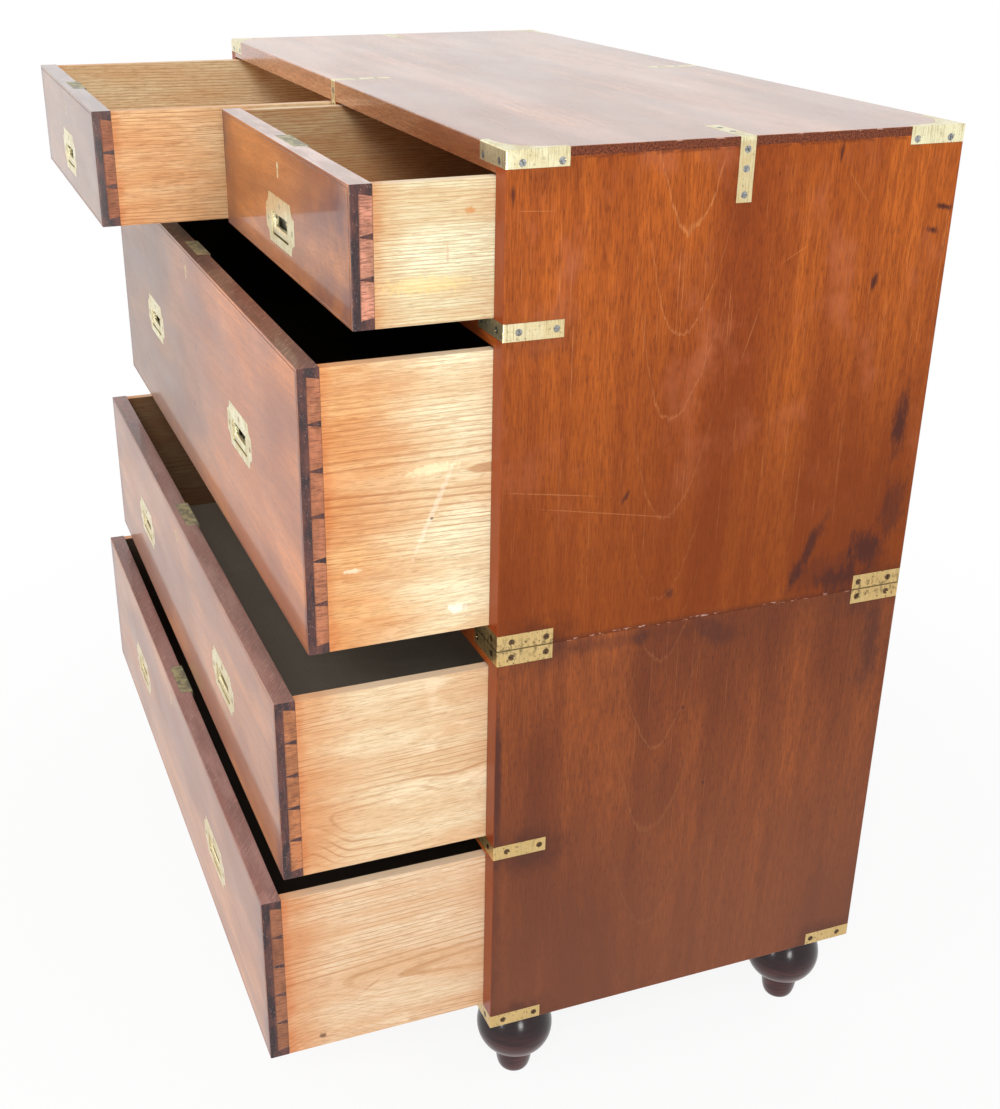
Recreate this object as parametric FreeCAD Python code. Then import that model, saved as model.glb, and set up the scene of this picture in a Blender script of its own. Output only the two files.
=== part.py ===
"""Campaign chest: two stacking cases, five drawers, flush brass straps and sunk handles.

Millimetres. The origin is on the floor, under the middle of the case. +Z is up, the
drawers open towards -Y, and +X is the chest's right-hand side as seen from the front.
Every drawer stands partly open in the rest pose.
"""
import FreeCAD
import Part
import math
import os

Vector = FreeCAD.Vector

# ---------------------------------------------------------------- driving sizes
# Case
case_width = 1000.0
case_depth = 455.0
side_thickness = 21.0
back_thickness = 10.0
back_rebate = 10.0
arris = 1.2
housing_depth = 6.0
split_gap = 0.3

# Upper case, from the top down
top_thickness = 22.0
top_lap = 8.0
top_back_lip = 12.0
short_opening_height = 124.0
upper_rail_thickness = 25.0
deep_opening_height = 275.0
upper_bottom_thickness = 18.0
divider_thickness = 20.0

# Lower case, from the top down
lower_top_thickness = 24.0
upper_long_opening_height = 201.0
lower_rail_thickness = 21.0
lower_long_opening_height = 200.0
lower_bottom_thickness = 16.0

# Inside the cases
rail_depth = 70.0
dustboard_thickness = 12.0

# Feet and locating pegs
foot_height = 110.0
foot_inset = 51.0
foot_top_radius = 28.0
foot_bun_radius = 43.0
foot_bun_widest = 46.0
foot_bun_depth = 39.0
foot_bead_drop = 81.0
foot_bead_size = 3.0
foot_toe_radius = 18.0
foot_toe_round = 5.0
foot_spigot_radius = 14.0
foot_spigot_length = 12.0
peg_radius = 6.0
peg_seat = 12.0
peg_proud = 9.0
peg_inset_x = 75.0
peg_inset_y = 60.0
peg_clearance = 0.3

# Drawer boxes
front_thickness = 20.0
front_lap = 8.0
lining_thickness = 12.0
drawer_back_thickness = 10.0
drawer_back_drop = 6.0
drawer_bottom_thickness = 7.0
drawer_bottom_rise = 9.0
groove_depth = 6.0
lining_drop = 1.0
drawer_side_gap = 1.0
drawer_top_gap = 2.0
drawer_bottom_gap = 0.5
drawer_rear_gap = 1.0
front_arris = 1.0
bead_width = 3.0
bead_line = 0.7
bead_depth = 0.8

# How far each drawer stands open at rest
left_short_open = 263.0
right_short_open = 128.0
deep_open = 178.0
upper_long_open = 213.0
lower_long_open = 237.0

# Dovetails of the drawer fronts and backs
tail_pitch = 40.0
end_pin = 8.0
pin_narrow = 1.0
pin_wide = 5.5

# Flush brass straps and their screws
brass_thickness = 2.0
brass_width = 16.0
brass_leg = 58.0
brass_fit = 0.15
top_plate_width = 8.0
top_plate_curve = 40.0
strap_width = 15.5
strap_drop = 57.0
strap_reach = 66.0
screw_head_radius = 3.3
screw_head_depth = 1.7
screw_shank_radius = 1.5
screw_length = 11.0
screw_slot_width = 0.9
screw_slot_depth = 0.8
screw_first_turn = 20.0
screw_next_turn = 47.0
corner_screw_near = 15.0
corner_screw_far = 51.0
top_corner_screw_drop = 11.3
strap_screw_first = 11.2
strap_screw_second = 27.8
strap_screw_last = 50.3

# Sunk handles
plate_width = 106.0
plate_height = 48.0
plate_thickness = 2.0
plate_notch = 12.0
plate_fit = 0.2
cup_width = 62.0
cup_above = 6.5
cup_below = 16.0
cup_corner = 4.0
cup_depth = 9.5
cup_wall = 1.5
bail_side_gap = 1.0
bail_leg = 5.5
bail_bar = 9.0
bail_thickness = 5.0
bail_sink = 0.5
bail_pivot_drop = 4.0
bail_pin_radius = 1.6
bail_pin_clearance = 0.1
bail_foot_gap = 1.0
bail_swing = 90.0
handle_screw_rise = 15.5
handle_screw_side = 45.0
handle_screw_drop = 2.0
long_handle_offset = 234.0
long_handle_drop = 3.0
short_handle_rise = 45.2

# Locks
lock_width = 64.0
lock_height = 40.0
lock_depth = 11.0
lock_plate_width = 70.0
lock_plate_height = 46.0
lock_plate_thickness = 2.5
selvedge_thickness = 1.5
selvedge_depth = 12.0
lock_fit = 0.15
bolt_width = 30.0
bolt_thickness = 5.0
bolt_height = 18.0
bolt_travel = 8.0
bolt_clearance = 0.3
mortise_clearance = 1.0
bolt_inset = 6.0
keyhole_drop = 22.0
keyhole_radius = 2.3
keyhole_slot = 2.2
keyhole_length = 10.5
keyhole_rim = 0.9
keyhole_rim_depth = 2.5
key_socket_depth = 2.8
key_pin_radius = 1.0

# ---------------------------------------------------------------- levels and planes
half_width = case_width / 2
front_y = -case_depth / 2
back_y = case_depth / 2
inner_x = half_width - side_thickness
inner_back_y = back_y - back_thickness

lower_z = foot_height
lower_bottom_top = lower_z + lower_bottom_thickness
lower_rail_z = lower_bottom_top + lower_long_opening_height
lower_rail_top = lower_rail_z + lower_rail_thickness
lower_top_z = lower_rail_top + upper_long_opening_height
lower_case_top = lower_top_z + lower_top_thickness

upper_z = lower_case_top + split_gap
upper_bottom_top = upper_z + upper_bottom_thickness
upper_rail_z = upper_bottom_top + deep_opening_height
upper_rail_top = upper_rail_z + upper_rail_thickness
top_z = upper_rail_top + short_opening_height
chest_top = top_z + top_thickness

drawer_length = case_depth - back_thickness - drawer_rear_gap
bolt_setback = front_thickness - bolt_inset
bolt_y = front_y + bolt_setback


# ---------------------------------------------------------------- small helpers
def box(x0, x1, y0, y1, z0, z1):
    low = Vector(min(x0, x1), min(y0, y1), min(z0, z1))
    return Part.makeBox(abs(x1 - x0), abs(y1 - y0), abs(z1 - z0), low)


def prism(points, direction):
    """A closed outline swept along a direction."""
    wire = Part.makePolygon(points + [points[0]])
    return Part.Face(wire).extrude(direction)


def overlaps(a, b):
    return a.BoundBox.intersect(b.BoundBox)


def carve(body, tools):
    """Cut from a body those tools that reach it."""
    near = [tool for tool in tools if overlaps(body, tool)]
    return body.cut(near) if near else body


def export(name, pieces):
    solids = []
    for piece in pieces:
        solids.extend(piece.Solids)
    Part.makeCompound(solids).exportStep("parts/" + name + ".step")


def moved(shapes, offset):
    """Copies of shapes, set over by an offset."""
    copies = []
    for shape in shapes:
        copy = shape.copy()
        copy.translate(offset)
        copies.append(copy)
    return copies


def rounded_case(z0, z1, top_too, bottom_too):
    """The outside of one case, with its outer edges eased by the arris."""
    block = box(-half_width, half_width, front_y, back_y, z0, z1)
    middle = (z0 + z1) / 2
    edges = []
    for edge in block.Edges:
        bounds = edge.BoundBox
        upright = bounds.ZMin < middle < bounds.ZMax
        at_top = bounds.ZMin > middle
        at_bottom = bounds.ZMax < middle
        if upright or (at_top and top_too) or (at_bottom and bottom_too):
            edges.append(edge)
    return block.makeFillet(arris, edges)


# ---------------------------------------------------------------- screws
def screw_blank(point, inward):
    """A countersunk screw before its slot is cut, head flush at the point."""
    head = Part.makeCone(screw_head_radius, screw_shank_radius, screw_head_depth, point, inward)
    neck = point + inward * screw_head_depth
    shank = Part.makeCylinder(screw_shank_radius, screw_length - screw_head_depth, neck, inward)
    return head.fuse(shank).removeSplitter()


def screw(point, inward, turn):
    """A slotted screw; the turn is the angle of its slot in degrees."""
    blank = screw_blank(point, inward)
    reach = 2 * screw_head_radius
    slot = Part.makeBox(reach, screw_slot_width, 2 * screw_slot_depth)
    slot.translate(Vector(-reach / 2, -screw_slot_width / 2, -screw_slot_depth))
    slot.rotate(Vector(0, 0, 0), Vector(0, 0, 1), turn)
    spin = FreeCAD.Rotation(Vector(0, 0, 1), inward)
    slot.Placement = FreeCAD.Placement(point, spin).multiply(slot.Placement)
    return blank.cut(slot)


class Brassware:
    """Straps with their screws, and the pockets that they sit in."""

    def __init__(self, envelope):
        self.envelope = envelope
        self.pieces = []
        self.pockets = []
        self.turn = screw_first_turn

    def add(self, plate, pocket, screws):
        """Fit one strap: cut it to the eased case, countersink it and screw it down."""
        plate = plate.common(self.envelope)
        blanks = [screw_blank(point, inward) for point, inward in screws]
        self.pieces.append(plate.cut(blanks))
        for point, inward in screws:
            self.pieces.append(screw(point, inward, self.turn))
            self.turn += screw_next_turn
        self.pockets.append(pocket)
        self.pockets.extend(blanks)


# ---------------------------------------------------------------- brass straps
def corner_legs(sx, sy, z0, z1, leg, depth):
    """Two legs that wrap one upright edge of the case."""
    x_out = sx * half_width
    y_out = sy * back_y
    across = box(x_out - sx * leg, x_out, y_out - sy * depth, y_out, z0, z1)
    along = box(x_out - sx * depth, x_out, y_out - sy * leg, y_out, z0, z1)
    return across.fuse(along)


def corner_screws(sx, sy, z):
    """Two screws in each leg of a corner strap."""
    x_out = sx * half_width
    y_out = sy * back_y
    into_x = Vector(-sx, 0, 0)
    into_y = Vector(0, -sy, 0)
    screws = []
    for step in (corner_screw_near, corner_screw_far):
        screws.append((Vector(x_out - sx * step, y_out, z), into_y))
        screws.append((Vector(x_out, y_out - sy * step, z), into_x))
    return screws


def top_corner_plate(sx, sy, grow):
    """The part of a top corner strap on the top board, with its hollow inner edge."""
    leg = brass_leg + grow
    width = top_plate_width + grow
    x_out = sx * half_width
    y_out = sy * back_y
    z0 = chest_top - brass_thickness
    centre = width + top_plate_curve
    plate = box(x_out, x_out - sx * leg, y_out, y_out - sy * leg, z0, chest_top)
    hollow = Part.makeCylinder(top_plate_curve, brass_thickness,
                               Vector(x_out - sx * centre, y_out - sy * centre, z0))
    far_x = box(x_out - sx * centre, x_out - sx * 2 * leg,
                y_out - sy * width, y_out - sy * 2 * leg, z0, chest_top)
    far_y = box(x_out - sx * width, x_out - sx * 2 * leg,
                y_out - sy * centre, y_out - sy * 2 * leg, z0, chest_top)
    return plate.cut([hollow, far_x, far_y])


def add_corner(brass, sx, sy, z0, z1, screw_z):
    plate = corner_legs(sx, sy, z0, z1, brass_leg, brass_thickness)
    pocket = corner_legs(sx, sy, z0 - brass_fit, z1 + brass_fit, brass_leg + brass_fit, brass_thickness)
    brass.add(plate, pocket, corner_screws(sx, sy, screw_z))


def add_top_corner(brass, sx, sy):
    z0 = chest_top - brass_width
    legs = corner_legs(sx, sy, z0, chest_top, brass_leg, brass_thickness)
    plate = legs.fuse(top_corner_plate(sx, sy, 0.0)).removeSplitter()
    pocket = corner_legs(sx, sy, z0 - brass_fit, chest_top, brass_leg + brass_fit, brass_thickness)
    pocket = pocket.fuse(top_corner_plate(sx, sy, brass_fit))
    brass.add(plate, pocket, corner_screws(sx, sy, chest_top - top_corner_screw_drop))


def edge_strap(middle, out, along, half, drop, reach):
    """A strap bent over the top edge; out points off the case and along runs with the edge."""
    low = middle - along * half - Vector(0, 0, drop)
    high = middle + along * half - out * brass_thickness
    upright = box(low.x, high.x, low.y, high.y, low.z, chest_top)
    high = middle + along * half - out * reach
    flat = box(low.x, high.x, low.y, high.y, chest_top - brass_thickness, chest_top)
    return upright.fuse(flat).removeSplitter()


def add_edge_strap(brass, middle, out, along):
    half = strap_width / 2
    plate = edge_strap(middle, out, along, half, strap_drop, strap_reach)
    pocket = edge_strap(middle, out, along, half + brass_fit, strap_drop + brass_fit,
                        strap_reach + brass_fit)
    screws = []
    for drop in (strap_screw_first, strap_screw_second, strap_screw_last):
        screws.append((middle - Vector(0, 0, drop), out * -1))
    for reach in (strap_screw_second, strap_screw_last):
        screws.append((middle - out * reach, Vector(0, 0, -1)))
    brass.add(plate, pocket, screws)


def upper_brassware(envelope):
    brass = Brassware(envelope)
    for sx in (-1, 1):
        for sy in (-1, 1):
            add_top_corner(brass, sx, sy)
            add_corner(brass, sx, sy, upper_z, upper_z + brass_width, upper_z + brass_width / 2)
        rail_brass = upper_rail_top - brass_width
        add_corner(brass, sx, -1, rail_brass, upper_rail_top, upper_rail_top - brass_width / 2)
        add_edge_strap(brass, Vector(sx * half_width, 0, chest_top), Vector(sx, 0, 0), Vector(0, 1, 0))
    for sy in (-1, 1):
        add_edge_strap(brass, Vector(0, sy * back_y, chest_top), Vector(0, sy, 0), Vector(1, 0, 0))
    return brass


def lower_brassware(envelope):
    brass = Brassware(envelope)
    for sx in (-1, 1):
        for sy in (-1, 1):
            add_corner(brass, sx, sy, lower_case_top - brass_width, lower_case_top,
                       lower_case_top - brass_width / 2)
            add_corner(brass, sx, sy, lower_z, lower_z + brass_width, lower_z + brass_width / 2)
        rail_brass = lower_rail_top - brass_width
        add_corner(brass, sx, -1, rail_brass, lower_rail_top, lower_rail_top - brass_width / 2)
    return brass


# ---------------------------------------------------------------- cases
def case_side(sx, z0, z1, housings):
    """One side board, with its back rebate and the housings of the boards between the sides."""
    x_out = sx * half_width
    x_in = sx * inner_x
    board = box(x_out, x_in, front_y, back_y, z0, z1)
    rebate = box(x_in, x_in + sx * back_rebate, inner_back_y, back_y, z0, z1)
    slots = [box(x_in, x_in + sx * housing_depth, y0, y1, low, high)
             for y0, y1, low, high in housings]
    return board.cut([rebate] + slots)


def between_sides(y0, y1, z0, z1):
    """A board that runs into the housings of both sides."""
    reach = inner_x + housing_depth
    return box(-reach, reach, y0, y1, z0, z1)


def back_boards(z0, z1):
    """Three upright back boards, edge to edge in the rebates."""
    reach = inner_x + back_rebate
    third = 2 * reach / 3
    return [box(-reach + n * third, -reach + (n + 1) * third, inner_back_y, back_y, z0, z1)
            for n in range(3)]


def bolt_mortise(x, z):
    """The hole above a drawer that its lock bolt rises into."""
    half_x = bolt_width / 2 + mortise_clearance
    half_y = bolt_thickness / 2 + mortise_clearance
    height = bolt_travel - drawer_top_gap + mortise_clearance
    return box(x - half_x, x + half_x, bolt_y - half_y, bolt_y + half_y, z, z + height)


def peg_points(z):
    for sx in (-1, 1):
        for sy in (-1, 1):
            yield Vector(sx * (half_width - peg_inset_x), sy * (back_y - peg_inset_y), z)


def build_upper_case():
    envelope = rounded_case(upper_z, chest_top, True, False)
    brass = upper_brassware(envelope)
    rail_back = front_y + rail_depth
    dust_z = upper_rail_top - dustboard_thickness
    housings = [(front_y, inner_back_y, upper_z, upper_bottom_top),
                (front_y, rail_back, upper_rail_z, upper_rail_top),
                (rail_back, inner_back_y, dust_z, upper_rail_top)]
    sides = [case_side(sx, upper_z, chest_top - top_lap, housings) for sx in (-1, 1)]

    top = box(-half_width, half_width, front_y, back_y, top_z, chest_top)
    for sx in (-1, 1):
        lap = box(sx * inner_x, sx * half_width, front_y, back_y, top_z, chest_top - top_lap)
        top = top.cut(lap)
    back_reach = inner_x + back_rebate
    rebate = box(-back_reach, back_reach, inner_back_y, back_y, top_z, chest_top - top_back_lip)
    half_divider = divider_thickness / 2
    divider = box(-half_divider, half_divider, front_y, inner_back_y,
                  upper_rail_top - housing_depth, top_z + housing_depth)
    short_x = short_centre(1)
    mortises = [bolt_mortise(-short_x, top_z), bolt_mortise(short_x, top_z)]
    top = top.cut([rebate, divider] + mortises)

    bottom = between_sides(front_y, inner_back_y, upper_z, upper_bottom_top)
    peg_holes = [Part.makeCylinder(peg_radius + peg_clearance, peg_proud + split_gap, point)
                 for point in peg_points(upper_z)]
    bottom = bottom.cut(peg_holes)

    rail = between_sides(front_y, rail_back, upper_rail_z, upper_rail_top)
    rail = rail.cut([divider, bolt_mortise(0, upper_rail_z)])
    dustboard = between_sides(rail_back, inner_back_y, dust_z, upper_rail_top).cut(divider)

    cutters = brass.pockets
    export("upper_top", [carve(top.common(envelope), cutters)])
    export("upper_sides", [carve(side.common(envelope), cutters) for side in sides])
    export("upper_bottom", [carve(bottom, cutters)])
    export("upper_back", [carve(board, cutters)
                          for board in back_boards(upper_z, chest_top - top_back_lip)])
    export("upper_divider", [carve(divider, cutters)])
    export("upper_drawer_rail", [carve(rail, cutters)])
    export("upper_dustboard", [dustboard])
    export("upper_brass", brass.pieces)


def build_lower_case():
    envelope = rounded_case(lower_z, lower_case_top, False, True)
    brass = lower_brassware(envelope)
    rail_back = front_y + rail_depth
    dust_z = lower_rail_top - dustboard_thickness
    housings = [(front_y, inner_back_y, lower_z, lower_bottom_top),
                (front_y, rail_back, lower_rail_z, lower_rail_top),
                (rail_back, inner_back_y, dust_z, lower_rail_top),
                (front_y, inner_back_y, lower_top_z, lower_case_top)]
    sides = [case_side(sx, lower_z, lower_case_top, housings) for sx in (-1, 1)]

    top = between_sides(front_y, inner_back_y, lower_top_z, lower_case_top)
    pegs = [Part.makeCylinder(peg_radius, peg_seat + peg_proud, point)
            for point in peg_points(lower_case_top - peg_seat)]
    top = top.cut(pegs + [bolt_mortise(0, lower_top_z)])

    bottom = between_sides(front_y, inner_back_y, lower_z, lower_bottom_top)
    feet = [foot(point) for point in foot_points()]
    bottom = bottom.cut(feet)

    rail = between_sides(front_y, rail_back, lower_rail_z, lower_rail_top)
    rail = rail.cut(bolt_mortise(0, lower_rail_z))
    dustboard = between_sides(rail_back, inner_back_y, dust_z, lower_rail_top)

    cutters = brass.pockets
    export("lower_top", [carve(top, cutters)])
    export("lower_sides", [carve(side.common(envelope), cutters) for side in sides])
    export("lower_bottom", [carve(bottom.common(envelope), cutters)])
    export("lower_back", [carve(board.common(envelope), cutters)
                          for board in back_boards(lower_z, lower_case_top)])
    export("lower_drawer_rail", [carve(rail, cutters)])
    export("lower_dustboard", [dustboard])
    export("lower_brass", brass.pieces)
    export("locating_pegs", pegs)
    export("feet", feet)


# ---------------------------------------------------------------- feet
def foot_points():
    for sx in (-1, 1):
        for sy in (-1, 1):
            yield Vector(sx * (half_width - foot_inset), sy * (back_y - foot_inset), lower_z)


def bun_radius(drop):
    """Radius of the bun's lower half at a distance below the case."""
    return foot_bun_radius * math.sqrt(1 - ((drop - foot_bun_widest) / foot_bun_depth) ** 2)


def foot(point):
    """A turned bun foot with a bead and a short toe, its spigot up in the case bottom."""
    def at(radius, drop):
        return Vector(radius, 0, -drop)

    shoulder = foot_top_radius + (foot_bun_radius - foot_top_radius) * math.sqrt(0.75)
    belly_drop = (foot_bun_widest + 2 * foot_bead_drop) / 3
    waist = bun_radius(foot_bead_drop)
    bead_end = foot_bead_drop + foot_bead_size
    toe_top = bead_end + waist - foot_toe_radius
    toe_corner = foot_toe_round * (1 - math.sqrt(0.5))
    toe_foot = foot_toe_radius - foot_toe_round
    edges = [
        Part.makeLine(at(0, -foot_spigot_length), at(foot_spigot_radius, -foot_spigot_length)),
        Part.makeLine(at(foot_spigot_radius, -foot_spigot_length), at(foot_spigot_radius, 0)),
        Part.makeLine(at(foot_spigot_radius, 0), at(foot_top_radius, 0)),
        Part.Arc(at(foot_top_radius, 0), at(shoulder, foot_bun_widest / 2),
                 at(foot_bun_radius, foot_bun_widest)).toShape(),
        Part.Arc(at(foot_bun_radius, foot_bun_widest), at(bun_radius(belly_drop), belly_drop),
                 at(waist, foot_bead_drop)).toShape(),
        Part.Arc(at(waist, foot_bead_drop), at(waist + foot_bead_size / 2, (foot_bead_drop + bead_end) / 2),
                 at(waist, bead_end)).toShape(),
        Part.makeLine(at(waist, bead_end), at(foot_toe_radius, toe_top)),
        Part.makeLine(at(foot_toe_radius, toe_top), at(foot_toe_radius, foot_height - foot_toe_round)),
        Part.Arc(at(foot_toe_radius, foot_height - foot_toe_round),
                 at(foot_toe_radius - toe_corner, foot_height - toe_corner),
                 at(toe_foot, foot_height)).toShape(),
        Part.makeLine(at(toe_foot, foot_height), at(0, foot_height)),
        Part.makeLine(at(0, foot_height), at(0, -foot_spigot_length)),
    ]
    profile = Part.Face(Part.Wire(edges))
    turned = profile.revolve(Vector(0, 0, 0), Vector(0, 0, 1), 360)
    turned.translate(point)
    return turned


# ---------------------------------------------------------------- dovetails
def tail_levels(z0, z1):
    """Lower and upper edge of each tail at its wide end, spread evenly over a joint."""
    count = max(1, round((z1 - z0 - 2 * end_pin) / tail_pitch))
    pitch = (z1 - z0 - 2 * end_pin + pin_narrow) / count
    for n in range(count):
        low = z0 + end_pin + n * pitch
        yield low, low + pitch - pin_narrow


def tails(x0, x1, y_wide, y_root, z0, z1):
    """Tails between two planes of Y, widest at y_wide, through a board from x0 to x1."""
    taper = (pin_wide - pin_narrow) / 2
    cut = []
    for low, high in tail_levels(z0, z1):
        outline = [Vector(x0, y_wide, low), Vector(x0, y_root, low + taper),
                   Vector(x0, y_root, high - taper), Vector(x0, y_wide, high)]
        cut.append(prism(outline, Vector(x1 - x0, 0, 0)))
    return cut


# ---------------------------------------------------------------- handles
def plate_outline(x, y, z, grow, depth):
    """The handle plate: a rectangle with a hollow quarter round taken out of each corner."""
    half_x = plate_width / 2 + grow
    half_z = plate_height / 2 + grow
    plate = box(x - half_x, x + half_x, y, y + depth, z - half_z, z + half_z)
    into = Vector(0, 1, 0)
    notches = [Part.makeCylinder(plate_notch, depth, Vector(x + sx * half_x, y, z + sz * half_z), into)
               for sx in (-1, 1) for sz in (-1, 1)]
    return plate.cut(notches)


def cup_block(x, y, z, grow, depth):
    """The sunk cup's outline, with rounded lower corners, grown by a wall or a clearance."""
    half = cup_width / 2 + grow
    block = box(x - half, x + half, y, y + depth, z - cup_below - grow, z + cup_above + grow)
    low = [edge for edge in block.Edges
           if edge.BoundBox.YLength > depth / 2 and edge.BoundBox.ZMax < z - cup_below / 2]
    return block.makeFillet(cup_corner + grow, low)


def handle_screws(x, y, z):
    into = Vector(0, 1, 0)
    points = [Vector(x, y, z + handle_screw_rise),
              Vector(x - handle_screw_side, y, z - handle_screw_drop),
              Vector(x + handle_screw_side, y, z - handle_screw_drop)]
    return [(point, into) for point in points]


def handle_plate(x, y, z):
    """A flush plate with its sunk cup, the bail's pin holes, and three screws."""
    plate = plate_outline(x, y, z, 0.0, plate_thickness)
    cup = cup_block(x, y, z, cup_wall, cup_depth + cup_wall)
    hollow = cup_block(x, y, z, 0.0, cup_depth)
    pin_y, pin_z = bail_axis(y, z)
    reach = cup_width / 2 + cup_wall
    pins = Part.makeCylinder(bail_pin_radius + bail_pin_clearance, 2 * reach,
                             Vector(x - reach, pin_y, pin_z), Vector(1, 0, 0))
    shell = plate.fuse(cup).cut([hollow, pins])
    screws = handle_screws(x, y, z)
    shell = shell.cut([screw_blank(point, inward) for point, inward in screws])
    pieces = [shell]
    for n, (point, inward) in enumerate(screws):
        pieces.append(screw(point, inward, screw_first_turn + n * screw_next_turn))
    return pieces


def handle_cavity(x, y, z):
    """What a drawer front loses to one handle."""
    recess = plate_outline(x, y, z, plate_fit, plate_thickness)
    well = cup_block(x, y, z, cup_wall + plate_fit, cup_depth + cup_wall + plate_fit)
    blanks = [screw_blank(point, inward) for point, inward in handle_screws(x, y, z)]
    return [recess, well] + blanks


def bail_axis(y, z):
    """Where the bail turns, in Y and Z, for a plate whose face is at y and middle at z."""
    return y + bail_sink + bail_thickness / 2, z + cup_above - bail_pivot_drop


def bail(x, y, z):
    """A drop handle with a deep grip bar, hanging from two pins in the cup's cheeks."""
    pin_y, pin_z = bail_axis(y, z)
    half = cup_width / 2 - bail_side_gap
    y0 = pin_y - bail_thickness / 2
    y1 = pin_y + bail_thickness / 2
    eye = bail_thickness / 2
    foot_z = z - cup_below + bail_foot_gap
    frame = box(x - half, x + half, y0, y1, foot_z, pin_z)
    gap = box(x - half + bail_leg, x + half - bail_leg, y0, y1, foot_z + bail_bar, pin_z)
    frame = frame.cut(gap)
    for sx in (-1, 1):
        x0 = x + sx * (half - bail_leg / 2) - bail_leg / 2
        frame = frame.fuse(Part.makeCylinder(eye, bail_leg, Vector(x0, pin_y, pin_z), Vector(1, 0, 0)))
    frame = frame.removeSplitter()
    corners = [edge for edge in frame.Edges
               if edge.BoundBox.YLength > bail_thickness / 2 and edge.BoundBox.ZLength < 0.01
               and edge.BoundBox.XLength < 0.01 and edge.BoundBox.ZMax < foot_z + 0.5]
    frame = frame.makeFillet(cup_corner, corners)
    reach = cup_width / 2 + cup_wall
    for sx in (-1, 1):
        inner = x + sx * (half - bail_leg / 2)
        pin = Part.makeCylinder(bail_pin_radius, reach - half + bail_leg / 2,
                                Vector(inner, pin_y, pin_z), Vector(sx, 0, 0))
        frame = frame.fuse(pin)
    return frame.removeSplitter()


# ---------------------------------------------------------------- locks
def keyhole(x, y, z, grow, depth):
    """A keyhole's outline: a round head over a straight slot."""
    head = Part.makeCylinder(keyhole_radius + grow, depth, Vector(x, y, z), Vector(0, 1, 0))
    half = keyhole_slot / 2 + grow
    slot = box(x - half, x + half, y, y + depth, z - keyhole_length - grow, z)
    return head.fuse(slot).removeSplitter()


def lock_block(x, y, top, grow):
    """The lock case, its rear plate and its selvedge on the drawer front's top edge."""
    rear = y + front_thickness
    case_half = lock_width / 2 + grow
    plate_half = lock_plate_width / 2 + grow
    case = box(x - case_half, x + case_half, rear - lock_depth - grow, rear,
               top - lock_height - grow, top)
    rear_plate = box(x - plate_half, x + plate_half, rear, rear + lock_plate_thickness,
                     top - lock_plate_height, top)
    selvedge = box(x - plate_half, x + plate_half, rear - selvedge_depth - grow,
                   rear + lock_plate_thickness, top - selvedge_thickness, top)
    return case.fuse([rear_plate, selvedge]).removeSplitter()


def bolt_channel(x, y, top, grow):
    half_x = bolt_width / 2 + grow
    half_y = bolt_thickness / 2 + grow
    middle = y + bolt_setback
    return box(x - half_x, x + half_x, middle - half_y, middle + half_y, top - bolt_height - grow, top)


def lock(x, y, top):
    """A cut drawer lock with its key pin, and the brass lining of its keyhole."""
    key_z = top - keyhole_drop
    face = y + front_thickness - lock_depth
    body = lock_block(x, y, top, 0.0).cut(bolt_channel(x, y, top, bolt_clearance))
    socket = keyhole(x, face, key_z, 0.0, key_socket_depth)
    key_pin = Part.makeCylinder(key_pin_radius, key_socket_depth, Vector(x, face, key_z), Vector(0, 1, 0))
    body = body.cut(socket).fuse(key_pin).removeSplitter()
    rim = keyhole(x, y, key_z, keyhole_rim, keyhole_rim_depth)
    rim = rim.cut(keyhole(x, y, key_z, 0.0, keyhole_rim_depth))
    return [body, rim]


def lock_cavity(x, y, top):
    """What a drawer front loses to its lock."""
    key_z = top - keyhole_drop
    mortise = lock_block(x, y, top, lock_fit)
    rim = keyhole(x, y, key_z, keyhole_rim, keyhole_rim_depth)
    way = keyhole(x, y, key_z, 0.0, front_thickness - lock_depth)
    return [mortise, rim, way]


# ---------------------------------------------------------------- drawers
def short_centre(sx):
    """Middle of a short drawer's opening, between the divider and the case side."""
    return sx * (divider_thickness / 2 + inner_x) / 2


def scratch_bead(x0, x1, y, z0, z1):
    """The fine line that sets a narrow bead round a drawer front."""
    inset = bead_width
    line = bead_line
    outer = box(x0 + inset, x1 - inset, y, y + bead_depth, z0 + inset, z1 - inset)
    inner = box(x0 + inset + line, x1 - inset - line, y, y + bead_depth,
                z0 + inset + line, z1 - inset - line)
    return outer.cut(inner)


def eased_front(x0, x1, y, z0, z1):
    """A drawer front's board, with the four edges of its face eased."""
    board = box(x0, x1, y, y + front_thickness, z0, z1)
    face = [edge for edge in board.Edges if edge.BoundBox.YMax < y + front_thickness / 2]
    return board.makeFillet(front_arris, face)


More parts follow.
